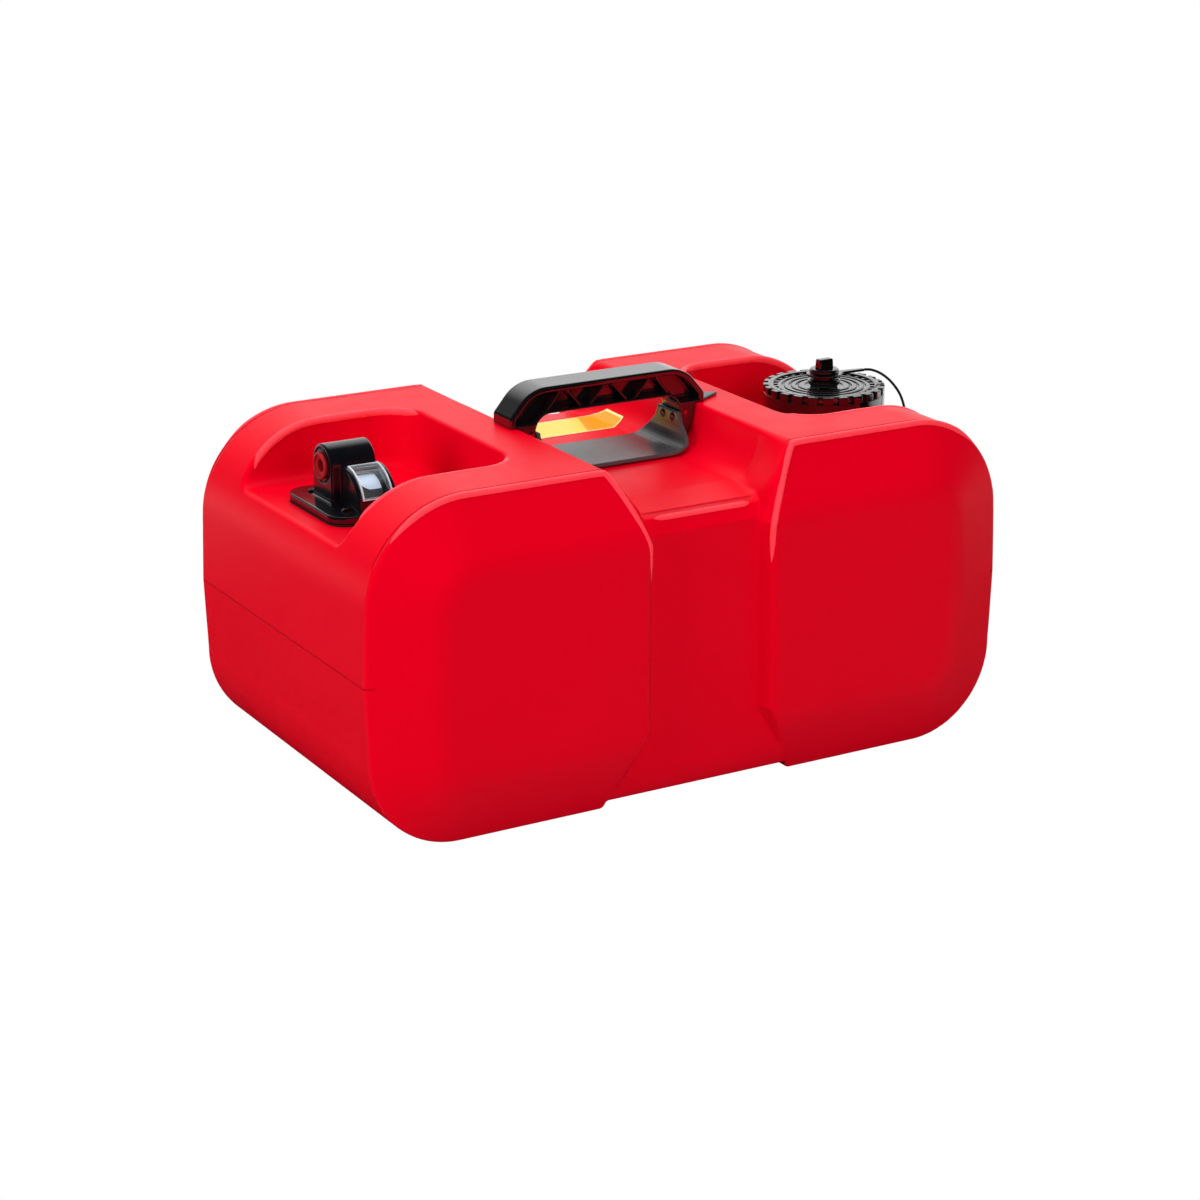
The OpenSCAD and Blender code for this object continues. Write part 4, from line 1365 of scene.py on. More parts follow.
@dataclass
class Handle:
    """Moulded I-section handle with zigzag ribs, its strap, tongue, rivets and screws.

    Attributes:
        width: Width from front to back.
        top: Height of the grip's top.
        foot: Height of the feet's undersides.
        foot_x: Where the legs end outwards.
        outer_flange: Thickness of the flange round the outside.
        inner_flange: Thickness of the flange round the hand opening.
        web: Thickness of the web.
        rivet_x: Distance of the legs' rivets from the middle.
        rivet_z: Height of the rivets.
        screw_x: Distance of the screws' heads from the middle.
        screw_y: Distance of the screws from the handle's middle plane.
        screw_z: Height of the screws.
        strap_t: Thickness of the strap.
        strap_z: Height of the strap's middle over the valley floor.
    """

    width: float = 28.0
    top: float = 289.0
    foot: float = 260.2
    foot_x: float = 84.5
    outer_flange: float = 4.8
    inner_flange: float = 2.2
    web: float = 5.0
    rivet_x: float = 67.0
    rivet_z: float = 254.0
    screw_x: float = 59.7
    screw_y: float = 7.0
    screw_z: float = 250.0
    strap_t: float = 3.2
    strap_z: float = 227.8

    def outer_edge(self) -> list[tuple[float, float]]:
        """Right half of the outer edge, from the middle of the top to the foot."""
        return fillet([(0, self.top, 0), (66.65, self.top, 40), (self.foot_x, self.top - 21.3, 4),
                       (self.foot_x, self.foot, 0)], steps=12)

    def inner_edge(self) -> list[tuple[float, float]]:
        """Right half of the hand opening's edge, from the leg's end to the middle."""
        return fillet([(63, 233, 0), (63, self.top - 21, 13), (0, self.top - 21, 0)], steps=10)

    def field(self) -> FieldFunction:
        """Makes the field of the moulding.

        Returns:
            Function of x, y and z in millimetres.
        """
        outer, inner = self.outer_edge(), self.inner_edge()
        side = [(76.6, self.foot), (75.8, 252.1), (74.3, 245.2), (72.1, 239.4), (69.3, 234.7),
                (67, 233)]
        side_view = polygon_distance(both_sides(outer + side + inner))
        outside = line_distance(both_sides(outer[::-1]))
        inside = line_distance(both_sides(inner))
        low, high = self.top - 20.4, self.top - 4.2
        ribs = [line_distance([(s * a, high), (s * b, z)]) for s in (-1, 1)
                for a, b, z in ((2.9, 17.8, low), (36.2, 21.6, low), (41.3, 63.4, self.top - 32))]

        def body(x: Array, y: Array, z: Array) -> Array:
            """Field of the handle.

            Args:
                x: Coordinates along the tank.
                y: Coordinates from the front to the back.
                z: Heights.

            Returns:
                Value at each point, negative inside.
            """
            plan = side_view(x, z)
            across = np.abs(y) - self.width / 2
            rim = np.minimum(outside(x, z) - self.outer_flange, inside(x, z) - self.inner_flange)
            flange = round_max(np.maximum(plan, rim), across, 1.5)
            foot = round_max(round_max(plan, across, 1.2), z - 262.4, 0.8)
            web = np.maximum(plan, np.abs(y) - self.web / 2)
            rib = np.minimum.reduce([r(x, z) for r in ribs]) - 0.9
            rib = round_max(np.maximum(rib, plan), across + 1.3, 0.6)
            joined = smooth_min(smooth_min(np.minimum(flange, foot), web, 1.6), rib, 0.9)
            return np.maximum(joined, plan)

        return body

    def build(self) -> None:
        """Builds the handle, its tongue and rivets, the strap and the screws."""
        grip = field_object("handle_grip", self.field(), (-87, -16, 230), (87, 16, 291),
                            FINE_STEP, 110000)
        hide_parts("handle")
        dress(grip, "tank", HANDLE_BLACK)
        tongue = polygon_distance([(82, -14), (104, -1), (104, 1), (82, 14)])
        dress(field_object("handle_tongue", lambda x, y, z: round_max(
            tongue(x, y), np.abs(z - 261.3) - 1.1, 0.7), (80, -16, 259), (106, 16, 264),
            0.5, 14000), "tank", STRAP_GREY)
        pin = revolve("rivet", fillet([(0, 0, 0), (2.1, 0, 0), (1.9, 0.5, 0.3), (0, 0.7, 0)]),
                      (0, 0, 0), 24, closed=False)
        dress(set_at("handle_rivets", pin,
                     [(s * self.rivet_x, t * self.width / 2, self.rivet_z) for s, t in SIDES],
                     [(0, t, 0) for _, t in SIDES], STEEL), "tank", STEEL)
        self.strap()
        bolt = screw("handle_screw", 3.9, 1.7, 26, 2.5)
        screws = set_at("strap_screws", bolt,
                        [(s * self.screw_x, t * self.screw_y, self.screw_z) for s, t in SIDES],
                        [(-s, 0, 0) for s, _ in SIDES], STEEL_BLACK)
        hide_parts("handle_screws")
        dress(screws, "tank", STEEL_BLACK)

    def strap(self) -> None:
        """Builds the strap that lies on the valley floor and climbs the legs' inner faces."""
        bend = [(44 + 17.3 * t * (2 - t), self.strap_z + 15 * t * t)
                for t in np.linspace(0, 1, 9)]
        line = line_distance(both_sides([(61.3, 253.6), *bend[::-1]]))
        width = polygon_distance(both_sides(
            [(32, 220), (32, 232), (29.5, 235.5), (18.5, 246), (15.2, 253), (15.2, 262)]))

        def body(x: Array, y: Array, z: Array) -> Array:
            """Field of the strap, with rounded edges."""
            return round_max(line(x, z) - self.strap_t / 2, width(y, z), 0.8)

        strap = field_object("strap_band", body, (-65, -34, 224), (65, 34, 257), FINE_STEP,
                             60000)
        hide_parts("handle_strap")
        dress(strap, "tank", STRAP_GREY)


# ------------------------------------------------------------------ the filler

@dataclass
class Filler:
    """Cap with its vent knob and washer, the tether's ring and its anchor.

    Attributes:
        x: Place of the filler's axis.
        floor: Height of the well's floor.
        rim: Height of the cap's rim over the floor.
        radius: Radius of the cap.
        notches: Number of grip notches.
        notch_w: Width of a notch.
        bars: Number of small bars round the cap's top.
        grooves: Radii of the grooves round the cap's top.
        tab_heading: Heading of the ring's tab in degrees.
        anchor: Place of the tether's button from the filler's axis.
    """

    x: float = 205.0
    floor: float = 216.0
    rim: float = 40.0
    radius: float = 48.5
    notches: int = 24
    notch_w: float = 4.4
    bars: int = 30
    grooves: tuple[float, ...] = (32.5, 26.9, 21.2)
    tab_heading: float = -6.0
    anchor: tuple[float, float] = (45.0, -42.0)

    def cap(self) -> None:
        """Builds the cap: a turned body with concentric ridges, grip lugs and radial slots."""
        crown = self.rim - 1.3
        profile = [(4.05, 24, 0), (11, 24, 0.8), (11, 34, 0.8), (38.3, 34, 0.6), (38.3, 3, 0.4),
                   (41.1, 3, 0.4), (41.1, 31, 0.8), (45.7, 31, 0.8), (45.7, 3, 0.4),
                   (self.radius - 0.1, 3, 0.5), (self.radius, 8, 0),
                   (self.radius - 0.4, 34.4, 0.7), (44.7, 34.9, 0.4), (44.4, self.rim, 0.7),
                   (40.2, self.rim, 0.7), (39.7, crown - 1.4, 0.4), (37.2, crown - 1.4, 0.3),
                   (36.7, crown, 0.5)]
        for groove in self.grooves:
            profile += [(groove + 1.3, crown, 0.5), (groove + 0.9, crown - 1.4, 0.4),
                        (groove - 0.9, crown - 1.4, 0.4), (groove - 1.3, crown, 0.5)]
        profile += [(15.8, crown, 0.6), (15.2, crown - 1.0, 0.4), (4.05, crown - 1.0, 0.3)]
        body = revolve("cap_body", fillet(profile, True, 3), (self.x, 0, self.floor), 160)
        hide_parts("fill_cap")
        dress(body, "cap", CAP_BLACK)
        gap = self.notch_w / (self.radius - 2)
        lug = self.block("lug", 44.0, self.radius - 0.5, 34.0, self.rim,
                         2 * math.pi / self.notches - gap, 0.7)
        bar = self.block("bar", 36.4, 40.4, crown - 1.8, crown + 0.4, 0.09, 0.4)
        for name, item, count in (("cap_lugs", lug, self.notches), ("cap_bars", bar, self.bars)):
            ring = ring_of(name, item, count, (self.x, 0, self.floor), CAP_BLACK)
            dress(ring, "cap", CAP_BLACK)

    def block(self, name: str, r0: float, r1: float, z0: float, z1: float, angle: float,
              bevel: float) -> bpy.types.Object:
        """Makes a bevelled block bent round the Z axis.

        Args:
            name: Object name.
            r0: Inner radius.
            r1: Outer radius.
            z0: Lowest height.
            z1: Highest height.
            angle: Angle that the block spans, in radians.
            bevel: Radius of its edges.

        Returns:
            The object about the origin, in the scene.
        """
        turns = np.linspace(-angle / 2, angle / 2, 5)
        points = [(r * math.cos(a), r * math.sin(a), z) for a in turns for r in (r0, r1)
                  for z in (z0, z1)]
        faces = [(0, 1, 3, 2), (16, 18, 19, 17)]
        for i in range(4):
            k = 4 * i
            faces += [(k, k + 4, k + 5, k + 1), (k + 2, k + 3, k + 7, k + 6),
                      (k + 1, k + 5, k + 7, k + 3), (k, k + 2, k + 6, k + 4)]
        block = mesh_object(name, np.array(points), faces)
        work = bmesh.new()
        work.from_mesh(block.data)
        sharp = [e for e in work.edges if e.calc_face_angle(0) > 0.6]
        bmesh.ops.bevel(work, geom=sharp, offset=bevel * MM, segments=3, affect="EDGES",
                        profile=0.5)
        work.to_mesh(block.data)
        work.free()
        block.data.shade_smooth()
        return block

    def knob(self) -> None:
        """Builds the vent knob, its grip and the washer under it."""
        base = (self.x, 0, self.floor + self.rim)
        profile = [(0, -20.5, 0), (5.5, -20.5, 0.4), (5.5, -18.3, 0.3), (4, -18.3, 0.3),
                   (4, 0.5, 0.3), (13, 0.5, 0.5), (13, 2.9, 0.7), (11.6, 4.1, 0.8), (9, 4.3, 0.4),
                   (9, 9.2, 0.4), (11.8, 9.2, 0.5), (11.8, 11.4, 0.8), (10.6, 12.5, 0.6),
                   (0, 12.8, 0)]
        stem = revolve("knob_stem", fillet(profile, steps=4), base, 96, closed=False)
        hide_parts("vent_knob")
        dress(stem, "knob", CAP_BLACK)

        def grip(x: Array, y: Array, z: Array) -> Array:
            """Field of the finger grip, dished on both long sides.

            Args:
                x: Coordinates along the tank.
                y: Coordinates from the front to the back.
                z: Heights.

            Returns:
                Value at each point, negative inside.
            """
            taper = 0.05 * (z - base[2])
            plan = rounded_box(x - self.x, y, 7.4 - taper, 4.3 - taper, 1.3)
            dish = np.hypot(np.abs(y) - 15.5, (z - base[2] - 17) * 0.9) - 12.2
            body = round_max(plan, np.abs(z - base[2] - 15.5) - 4.6, 1.1)
            return smooth_max(body, -np.maximum(dish, np.abs(x - self.x) - 5), 1.0)

        dress(field_object("knob_grip", grip, (self.x - 9, -6, base[2] + 10),
                           (self.x + 9, 6, base[2] + 21), 0.6, 12000), "knob", CAP_BLACK)
        washer = revolve("vent_washer", fillet([(5, 38.5, 0.3), (11, 38.5, 0.3), (11, 40.5, 0.5),
                         (5, 40.5, 0.5)], True), (self.x, 0, self.floor), 64)
        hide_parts("vent_seal")
        dress(washer, "vent_washer", SEAL_RUBBER)

    def ring(self) -> None:
        """Builds the loose ring that holds the tether, and the button that anchors it."""
        heading = math.radians(self.tab_heading)

        def body(x: Array, y: Array, z: Array) -> Array:
            """Field of the flat ring with its tapering tab.

            Args:
                x: Coordinates along the tank.
                y: Coordinates from the front to the back.
                z: Heights.

            Returns:
                Value at each point, negative inside.
            """
            u = (x - self.x) * math.cos(heading) + y * math.sin(heading)
            v = y * math.cos(heading) - (x - self.x) * math.sin(heading)
            disc = np.hypot(u, v) - 14
            tab = rounded_box(u - 23, v, 13, 3.4 - 0.07 * np.clip(u - 12, 0, 24), 0.8)
            plan = np.maximum(smooth_min(disc, tab, 4), 9.5 - np.hypot(u, v))
            return round_max(plan, np.abs(z - self.floor - self.rim - 7.6) - 1, 0.5)

        ring = field_object("tether_loop", body, (190, -16, 261), (243, 16, 266.5), 0.55, 24000)
        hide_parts("tether_ring")
        dress(ring, "tether_carrier", CAP_BLACK)
        button = revolve("tether_button", fillet([(0, -2.8, 0), (2.4, -2.8, 0.3), (2.4, 0, 0.2),
                         (5, 0, 0.4), (4.3, 2.7, 0.8), (0, 3.0, 0)], steps=4),
                         (self.x + self.anchor[0], self.anchor[1], self.floor), 48,
                         closed=False)
        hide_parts("tether_anchor")
        dress(button, "tank", CAP_BLACK)

    def build(self) -> None:
        """Builds every piece at the filler."""
        self.cap()
        self.knob()
        self.ring()


# ------------------------------------------------------------------- the gauge

@dataclass
class Gauge:
    """Gauge housing with its window, drum, plug and screws.

    Attributes:
        x: Place of the unit's axis.
        floor: Height of the well's floor.
        drum_y: Place of the drum's axis.
        drum_z: Height of the drum's axis over the floor.
        bezel_r: Radius of the drum's bezel.
        hood_y: Middle of the hood.
        hood_z: Height of the port's axis over the floor.
        hood_r: Radius of the hood.
        hood_half: Half length of the hood.
        flange: Half sizes and corner radius of the flange.
        bezel_half: Half width of the bezel.
        chamber_half: Half width of the drum's chamber and of the throat under it.
        spigot_y: Place of the spigot's axis.
        socket: Place of the pickup's socket from the unit's axis.
        window: First and last angle of the window about the drum, from +Y to +Z.
        crank_r: Distance of the crank's pin from the drum's axis.
        crank_a: Angle of the crank at rest, from +Y to +Z.
        screw_x: Distance of the flange's screws from the middle along the tank.
        screw_y: Distance of the screws from the middle across it.
    """

    x: float = -205.0
    floor: float = 216.0
    drum_y: float = -10.5
    drum_z: float = 6.0
    bezel_r: float = 28.0
    hood_y: float = 8.0
    hood_z: float = 32.0
    hood_r: float = 16.0
    hood_half: float = 18.0
    flange: tuple[float, float, float] = (38.0, 46.0, 16.0)
    bezel_half: float = 15.5
    chamber_half: float = 12.5
    spigot_y: float = -8.0
    socket: tuple[float, float] = (-16.5, 2.0)
    window: tuple[float, float] = (93.0, 162.0)
    crank_r: float = 8.0
    crank_a: float = 142.5
    screw_x: float = 21.0
    screw_y: float = 29.0

    def wedge(self, y: Array, z: Array, grow: float) -> Array:
        """Field of the window's wedge about the drum's axis, widened by grow degrees."""
        a0, a1 = math.radians(self.window[0] - grow), math.radians(self.window[1] + grow)
        return np.maximum(math.sin(a0) * y - math.cos(a0) * z, math.cos(a1) * z - math.sin(a1) * y)

    def housing(self, x: Array, y: Array, z: Array) -> Array:
        """Field of the housing with its flange, hood, bezel, spigot and bracket.

        Args:
            x: Coordinates along the tank.
            y: Coordinates from the front to the back.
            z: Heights.

        Returns:
            Value at each point, negative inside.
        """
        x, z = x - self.x, z - self.floor
        dy, dz = y - self.drum_y, z - self.drum_z
        drum = np.hypot(dy, dz)
        ring = np.hypot(x, y - self.spigot_y)
        pipe = np.hypot(x - self.socket[0], y - self.socket[1])
        foot = 2.5 - z
        flange = round_max(rounded_box(x, y, *self.flange), np.abs(z - 4.25) - 2.75, 1.3)
        bezel = round_max(np.maximum(drum - self.bezel_r, foot), np.abs(x) - self.bezel_half, 1.6)
        arch = np.where(z < self.hood_z, np.abs(y - self.hood_y),
                        np.hypot(y - self.hood_y, z - self.hood_z)) - self.hood_r
        hood = round_max(np.maximum(arch, foot), np.abs(x + 5) - self.hood_half, 1.4)
        lip = np.hypot(y - self.hood_y, z - self.hood_z)
        hood = smooth_max(hood, -np.maximum(np.abs(lip - 12.6) - 0.7, x + 22.2), 0.5)
        top = smooth_min(smooth_min(hood, bezel, 1.2), flange, 3.0)
        spigot = np.maximum(np.abs(ring - 23.9) - 1.1, np.abs(z + 5.2) - 7.8)
        cheek = np.maximum(np.maximum(np.abs(np.abs(x) - 14) - 1.5, np.abs(dy) - 7),
                           np.abs(z + 20.5) - 22.5)
        socket = np.maximum(pipe - 6, np.abs(z + 10.5) - 13.5)
        socket = np.maximum(socket, np.minimum(4.5 - pipe, -10 - z))
        bore = np.maximum(ring - 22.8, z - 1.5)
        whole = np.minimum(np.minimum(np.maximum(top, -bore), spigot), np.minimum(cheek, socket))
        between = np.abs(x) - self.chamber_half
        chamber = np.maximum(np.maximum(drum - 22, between), 7 - z)
        throat = np.maximum(np.maximum(between, np.abs(dy) - 19), np.abs(z - 4.5) - 3.2)
        pane = np.maximum(np.maximum(np.abs(x) - 10, self.wedge(dy, dz, -4)), 20 - drum)
        rebate = np.maximum(np.maximum(np.abs(x) - 12.2, self.wedge(dy, dz, 0.5)), 26.5 - drum)
        port = np.maximum(lip - 6, x + 8)
        holes = np.hypot(np.abs(x) - self.screw_x, np.abs(y) - self.screw_y) - 2.75
        cuts = np.minimum.reduce([chamber, throat, pane, rebate, port, holes])
        return smooth_max(whole, -cuts, 0.4)

    def lens(self) -> None:
        """Builds the curved window pane, with its edge, which gets a painted highlight, marked as
        an attribute.
        """
        a0, a1 = map(math.radians, self.window)
        turns = np.concatenate([[a0, a0 + 0.032], np.linspace(a0 + 0.04, a1 - 0.04, 22),
                                [a1 - 0.032, a1]])
        across = [-12, -11.1, -10.9, -6, -2, 2, 6, 10.9, 11.1, 12]
        points, edge = [], []
        for r in (self.bezel_r + 0.9, self.bezel_r - 1.3):
            for a in turns:
                for x in across:
                    points.append((self.x + x, self.drum_y + r * math.cos(a),
                                   self.floor + self.drum_z + r * math.sin(a)))
                    near = min(12 - abs(x), (a - a0) * 28, (a1 - a) * 28)
                    edge.append(1.0 if near < 1.0 else 0.0)
        pane = slab("window_pane", points, len(turns), len(across))
        point_values(pane.data, "edge", edge)
        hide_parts("gauge_lens")
        dress(pane, "tank", LENS_CLEAR)

    def drum(self) -> None:
        """Builds the drum that carries the printed dial, with its crank pin."""
        axis = (self.x, self.drum_y, self.floor + self.drum_z)
        profile = [(2.05, -10, 0.2), (9, -10, 0.4), (10, -8.4, 0.4), (17.5, -8.4, 0.4),
                   (18.2, -11.5, 0.3), (20.5, -11.5, 0.3), (20.5, 8, 0.3), (2.05, 8, 0.2)]
        drum = revolve("gauge_dial", fillet(profile, True, 3), axis, 120, Axis.X)
        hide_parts("gauge_drum")
        dress(drum, "drum", DIAL)
        crank = math.radians(self.crank_a)
        profile = [(0, 6.5, 0), (1.5, 6.5, 0), (1.5, 11.3, 0.3), (0, 11.3, 0)]
        pin = revolve("dial_pin", fillet(profile),
                      (axis[0], axis[1] + self.crank_r * math.cos(crank),
                       axis[2] + self.crank_r * math.sin(crank)), 24, Axis.X, closed=False)
        dress(pin, "drum", DRUM_WHITE)

    def plug(self) -> None:
        """Builds the transit plug in the outlet port."""
        profile = [(4.75, 12, 0.3), (5.9, 12, 0.5), (5.9, -0.3, 0.2), (10, -0.3, 0.4),
                   (10, -2.7, 0.7), (8.3, -2.9, 0.4), (7.9, -1.2, 0.4), (4.75, -1.2, 0.3)]
        plug = revolve("transit_plug", fillet(profile, True, 4),
                       (self.x - 23, self.hood_y, self.floor + self.hood_z), 64, Axis.X)
        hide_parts("outlet_plug")
        dress(plug, "plug", PLUG_RED)

    def build(self) -> None:
        """Builds every piece of the gauge unit that shows."""
        housing = field_object("gauge_case", self.housing, (-245, -48, 171), (-165, 48, 266),
                               FINE_STEP, 130000)
        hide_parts("gauge_housing")
        dress(housing, "tank", CASE_BLACK)
        self.lens()
        self.drum()
        self.plug()
        bolt = screw("flange_screw", 4.5, 2.7, 17, 2.5)
        places = [(self.x + s * self.screw_x, t * self.screw_y, self.floor + 7)
                  for s, t in SIDES]
        screws = set_at("unit_screws", bolt, places, [(0, 0, 1)] * len(places), STEEL_BLACK)
        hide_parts("flange_screws")
        dress(screws, "tank", STEEL_BLACK)


# ------------------------------------------------------------------- the label

@dataclass
class Label:
    """Blank film in two yellows on the valley's floor behind the handle.

    Attributes:
        y: Middle of the film.
        length: Length along the valley.
        width: Width across it.
        cut: Size cut off the corners, along and across.
        lifts: Heights of its upper and lower face over the shell.
    """

    y: float = 88.0
    length: float = 130.0
    width: float = 44.0
    cut: tuple[float, float] = (14.0, 9.0)
    lifts: tuple[float, float] = (0.38, 0.06)

    def build(self, shell: "TankShell") -> None:
        """Lays the film on the shell.

        Args:
            shell: Shell whose valley carries the film.
        """
        rows, columns = 25, 61
        points, rim = [], []
        for lift in self.lifts:
            for v in np.linspace(-self.width / 2, self.width / 2, rows):
                past = max(abs(v) - self.width / 2 + self.cut[1], 0) / self.cut[1]
                reach = self.length / 2 - self.cut[0] * past
                for u in np.linspace(-1, 1, columns) * reach:
                    height = float(shell.valley_height(np.array([u]), np.array([self.y + v]))[0])
                    points.append((u, self.y + v, height + lift))
                    rim.append(min(self.width / 2 - abs(v), (reach - abs(u)) * 0.8))
        film = slab("blank_film", points, rows, columns)
        point_values(film.data, "rim", rim)
        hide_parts("blank_label")
        dress(film, "tank", LABEL_FILM)


# -------------------------------------------------------------- the tank shell

@dataclass
class TankShell:
    """Blow-moulded shell: two lobes with wells, a valley, a set-back waist and pads.

    Attributes:
        half_l: Half length at the parting line.
        half_w: Half width over the long faces.
        deck: Height of the deck.
        base: Height of the lobes' undersides over the pads.
        parting: Height of the parting line.
        draft: How far the ends lean in over half the height.
        top_r: Corner radius of the front outline at the top.
        bottom_r: Corner radius of the front outline at the bottom.
        crease_y: Where the sloped band starts, from the middle.
        crease_in: How far the crease lies inside the outline.
        band: Width of the sloped band round each long face.
        wall: Wall thickness.
        waist_y: Half width at the waist.
        waist_x: Half length of the waist's flat faces.
        brow_low: Height where the brow over the waist starts.
        lift: Length and height of the hollow under the waist, from the middle and the ground.
        valley_x: Where the valley's walls meet the deck, from the middle.
        pad_x: Middle of both pads.
        pad: Half sizes and corner radius of a pad.
        well_x: Middle of both wells.
        well_z: Height of the wells' floors.
        well_half: Half width of the wells at the deck.
        well_inner: Distance of the wells' inner walls from the tank's middle.
        neck_r: Inner and outer radius of the neck, and radius of its ridges.
        neck_top: Height of the neck over the well's floor.
        gauge_y: Middle of the hole for the gauge.
        gauge_r: Radius of that hole.
        bead_r: Radius of the raised beads.
        bead_sink: How far the beads' middles lie inside the shell.
    """

    half_l: float = 270.0
    half_w: float = 163.5
    deck: float = 260.0
    base: float = 3.0
    parting: float = 130.4
    draft: float = 2.0
    top_r: float = 79.0
    bottom_r: float = 70.0
    crease_y: float = 143.5
    crease_in: float = 1.0
    band: float = 50.0
    wall: float = 4.0
    waist_y: float = 150.5
    waist_x: float = 46.0
    brow_low: float = 206.0
    lift: tuple[float, float] = (78.0, 9.0)
    valley_x: float = 77.0
    pad_x: float = 157.0
    pad: tuple[float, float, float] = (22.5, 125.0, 10.0)
    well_x: float = 205.0
    well_z: float = 216.0
    well_half: float = 92.0
    well_inner: float = 118.0
    neck_r: tuple[float, float, float] = (33.0, 37.0, 38.0)
    neck_top: float = 31.0
    gauge_y: float = -8.0
    gauge_r: float = 25.5
    bead_r: float = 3.0
    bead_sink: float = 1.5

    def outline(self, x: Array, z: Array) -> Array:
        """Distance outside the front outline of the lobes.

        Args:
            x: Coordinates along the tank.
            z: Heights.

        Returns:
            Distance at each point, negative inside.
        """
        lean = np.clip(1 - np.abs(z - self.parting) / 54, 0, 1)
        half = self.half_l - self.draft * (1 - lean)
        upper = z > self.parting
        r = np.where(upper, self.top_r, self.bottom_r)
        qx = np.abs(x) - (half - r)
        qz = np.where(upper, z - (self.deck - self.top_r), self.base + self.bottom_r - z)
        return corner(qx, qz) - r

    def lobes(self, x: Array, y: Array, z: Array) -> Array:
        """Field of the body before anything is cut from it.

        Args:
            x: Coordinates along the tank.
            y: Coordinates from the front to the back.
            z: Heights.

        Returns:
            Value at each point, negative inside.
        """
        a = self.outline(x, z)
        b = np.abs(y) - self.half_w
        run = np.array([self.half_w - self.crease_y, self.crease_in - self.band])
        normal = np.array([-run[1], run[0]]) / np.hypot(*run)
        band = b * normal[0] + (a + self.band) * normal[1]
        return smooth_max(smooth_max(a, band, 2.2), b, 4)

    def valley_shape(self, x: Array, y: Array) -> tuple[Array, Array]:
        """Height and slope of the valley's surface over a plan position.

        Args:
            x: Coordinates along the tank.
            y: Coordinates from the front to the back.

        Returns:
            Height, and slope along the tank.
        """
        flare = np.interp(np.abs(y), [64, 103.5, 144.5], [0, 0.1, 1])
        foot, lean = 52 - 9 * flare, 75 - 23 * flare
        level = 226 - 4 * flare
        past = np.maximum(np.minimum(np.abs(x), self.valley_x) - foot, 0)
        bend = foot - 2 * lean + self.valley_x
        first = 2 * (lean - foot)
        t = 2 * past / (first + np.sqrt(np.maximum(first ** 2 + 4 * bend * past, 1)))
        end = (self.deck - level) / (self.valley_x - lean)
        over = np.abs(x) > self.valley_x
        height = np.where(over, self.deck + end * (np.abs(x) - self.valley_x),
                          level + (self.deck - level) * t * t)
        slope = np.where(over, end,
                         (self.deck - level) * t / np.maximum(lean - foot + bend * t, 1))
        return height, slope

    def valley(self, x: Array, y: Array, z: Array) -> Array:
        """Field that keeps what lies under the valley between the lobes."""
        height, slope = self.valley_shape(x, y)
        return (z - height) / np.hypot(1, np.minimum(slope, 12))

    def waist(self, x: Array, y: Array, z: Array) -> Array:
        """Field that keeps what lies inside the set-back waist, its brow and raised base.

        Args:
            x: Coordinates along the tank.
            y: Coordinates from the front to the back.
            z: Heights.

        Returns:
            Value at each point, negative inside.
        """
        ax, ay = np.abs(x), np.abs(y)
        wide = (self.waist_x + np.maximum(62 - z, 0) * 0.634
                + np.maximum(z - self.brow_low, 0) * 0.5 + 0.5 * np.maximum(ay - self.waist_y, 0))
        side = smooth_min(ay - self.waist_y, (wide - ax) * 0.86, 3)
        brow_z = np.interp(ay, [104, 136.5, 144.5, 151.5], [226, 224, 219, self.brow_low])
        brow_x = np.interp(z, [self.brow_low, 238, 261], [self.waist_x, 58, 76])
        brow = smooth_min((z - brow_z) * 0.6, (brow_x - ax) * 0.86, 2)
        lift_x, lift_z = self.lift
        lift = np.where(ax < lift_x, lift_z - z, (lift_z - z - (ax - lift_x) * 2.9) * 0.33)
        return np.maximum(np.maximum(side, brow), lift)

    def wells(self, x: Array, y: Array, z: Array) -> Array:
        """Field of the two open-ended wells, negative inside them.

        Args:
            x: Coordinates along the tank.
            y: Coordinates from the front to the back.
            z: Heights.

        Returns:
            Value at each point, negative inside.
        """
        inset = 6 * (1 - (z - self.well_z) / (self.deck - self.well_z))
        r = 30 - inset / 2
        qx = self.well_inner + inset - np.abs(x) + r
        qy = np.abs(y) - (self.well_half - inset) + r
        return round_max(corner(qx, qy) - r, self.well_z - z, 9)

    def pads(self, x: Array, y: Array, z: Array) -> Array:
        """Field of the two pads that the tank stands on."""
        plan = rounded_box(np.abs(x) - self.pad_x, y, *self.pad)
        return round_max(plan, np.maximum(-z, z - 8), 1.2)

    def outside(self, x: Array, y: Array, z: Array) -> Array:
        """Field of the filled shell.

        Args:
            x: Coordinates along the tank.
            y: Coordinates from the front to the back.
            z: Heights.

        Returns:
            Value at each point, negative inside.
        """
        solid = smooth_max(self.lobes(x, y, z), self.valley(x, y, z), 4)
        solid = smooth_max(solid, self.waist(x, y, z), 3)
        solid = smooth_max(solid, -self.wells(x, y, z), 3)
        return smooth_min(solid, self.pads(x, y, z), 1.5)

    def solid(self, x: Array, y: Array, z: Array) -> Array:
        """Field of the hollow shell, open under the neck and the gauge.

        Args:
            x: Coordinates along the tank.
            y: Coordinates from the front to the back.
            z: Heights.

        Returns:
            Value at each point, negative inside.
        """
        skin = self.outside(x, y, z)
        hollow = np.maximum(skin, -(skin + self.wall))
        neck = np.hypot(x - self.well_x, y) - self.neck_r[0]
        gauge = np.hypot(x + self.well_x, y - self.gauge_y) - self.gauge_r
        return np.maximum(hollow, -np.maximum(np.minimum(neck, gauge), 190 - z))

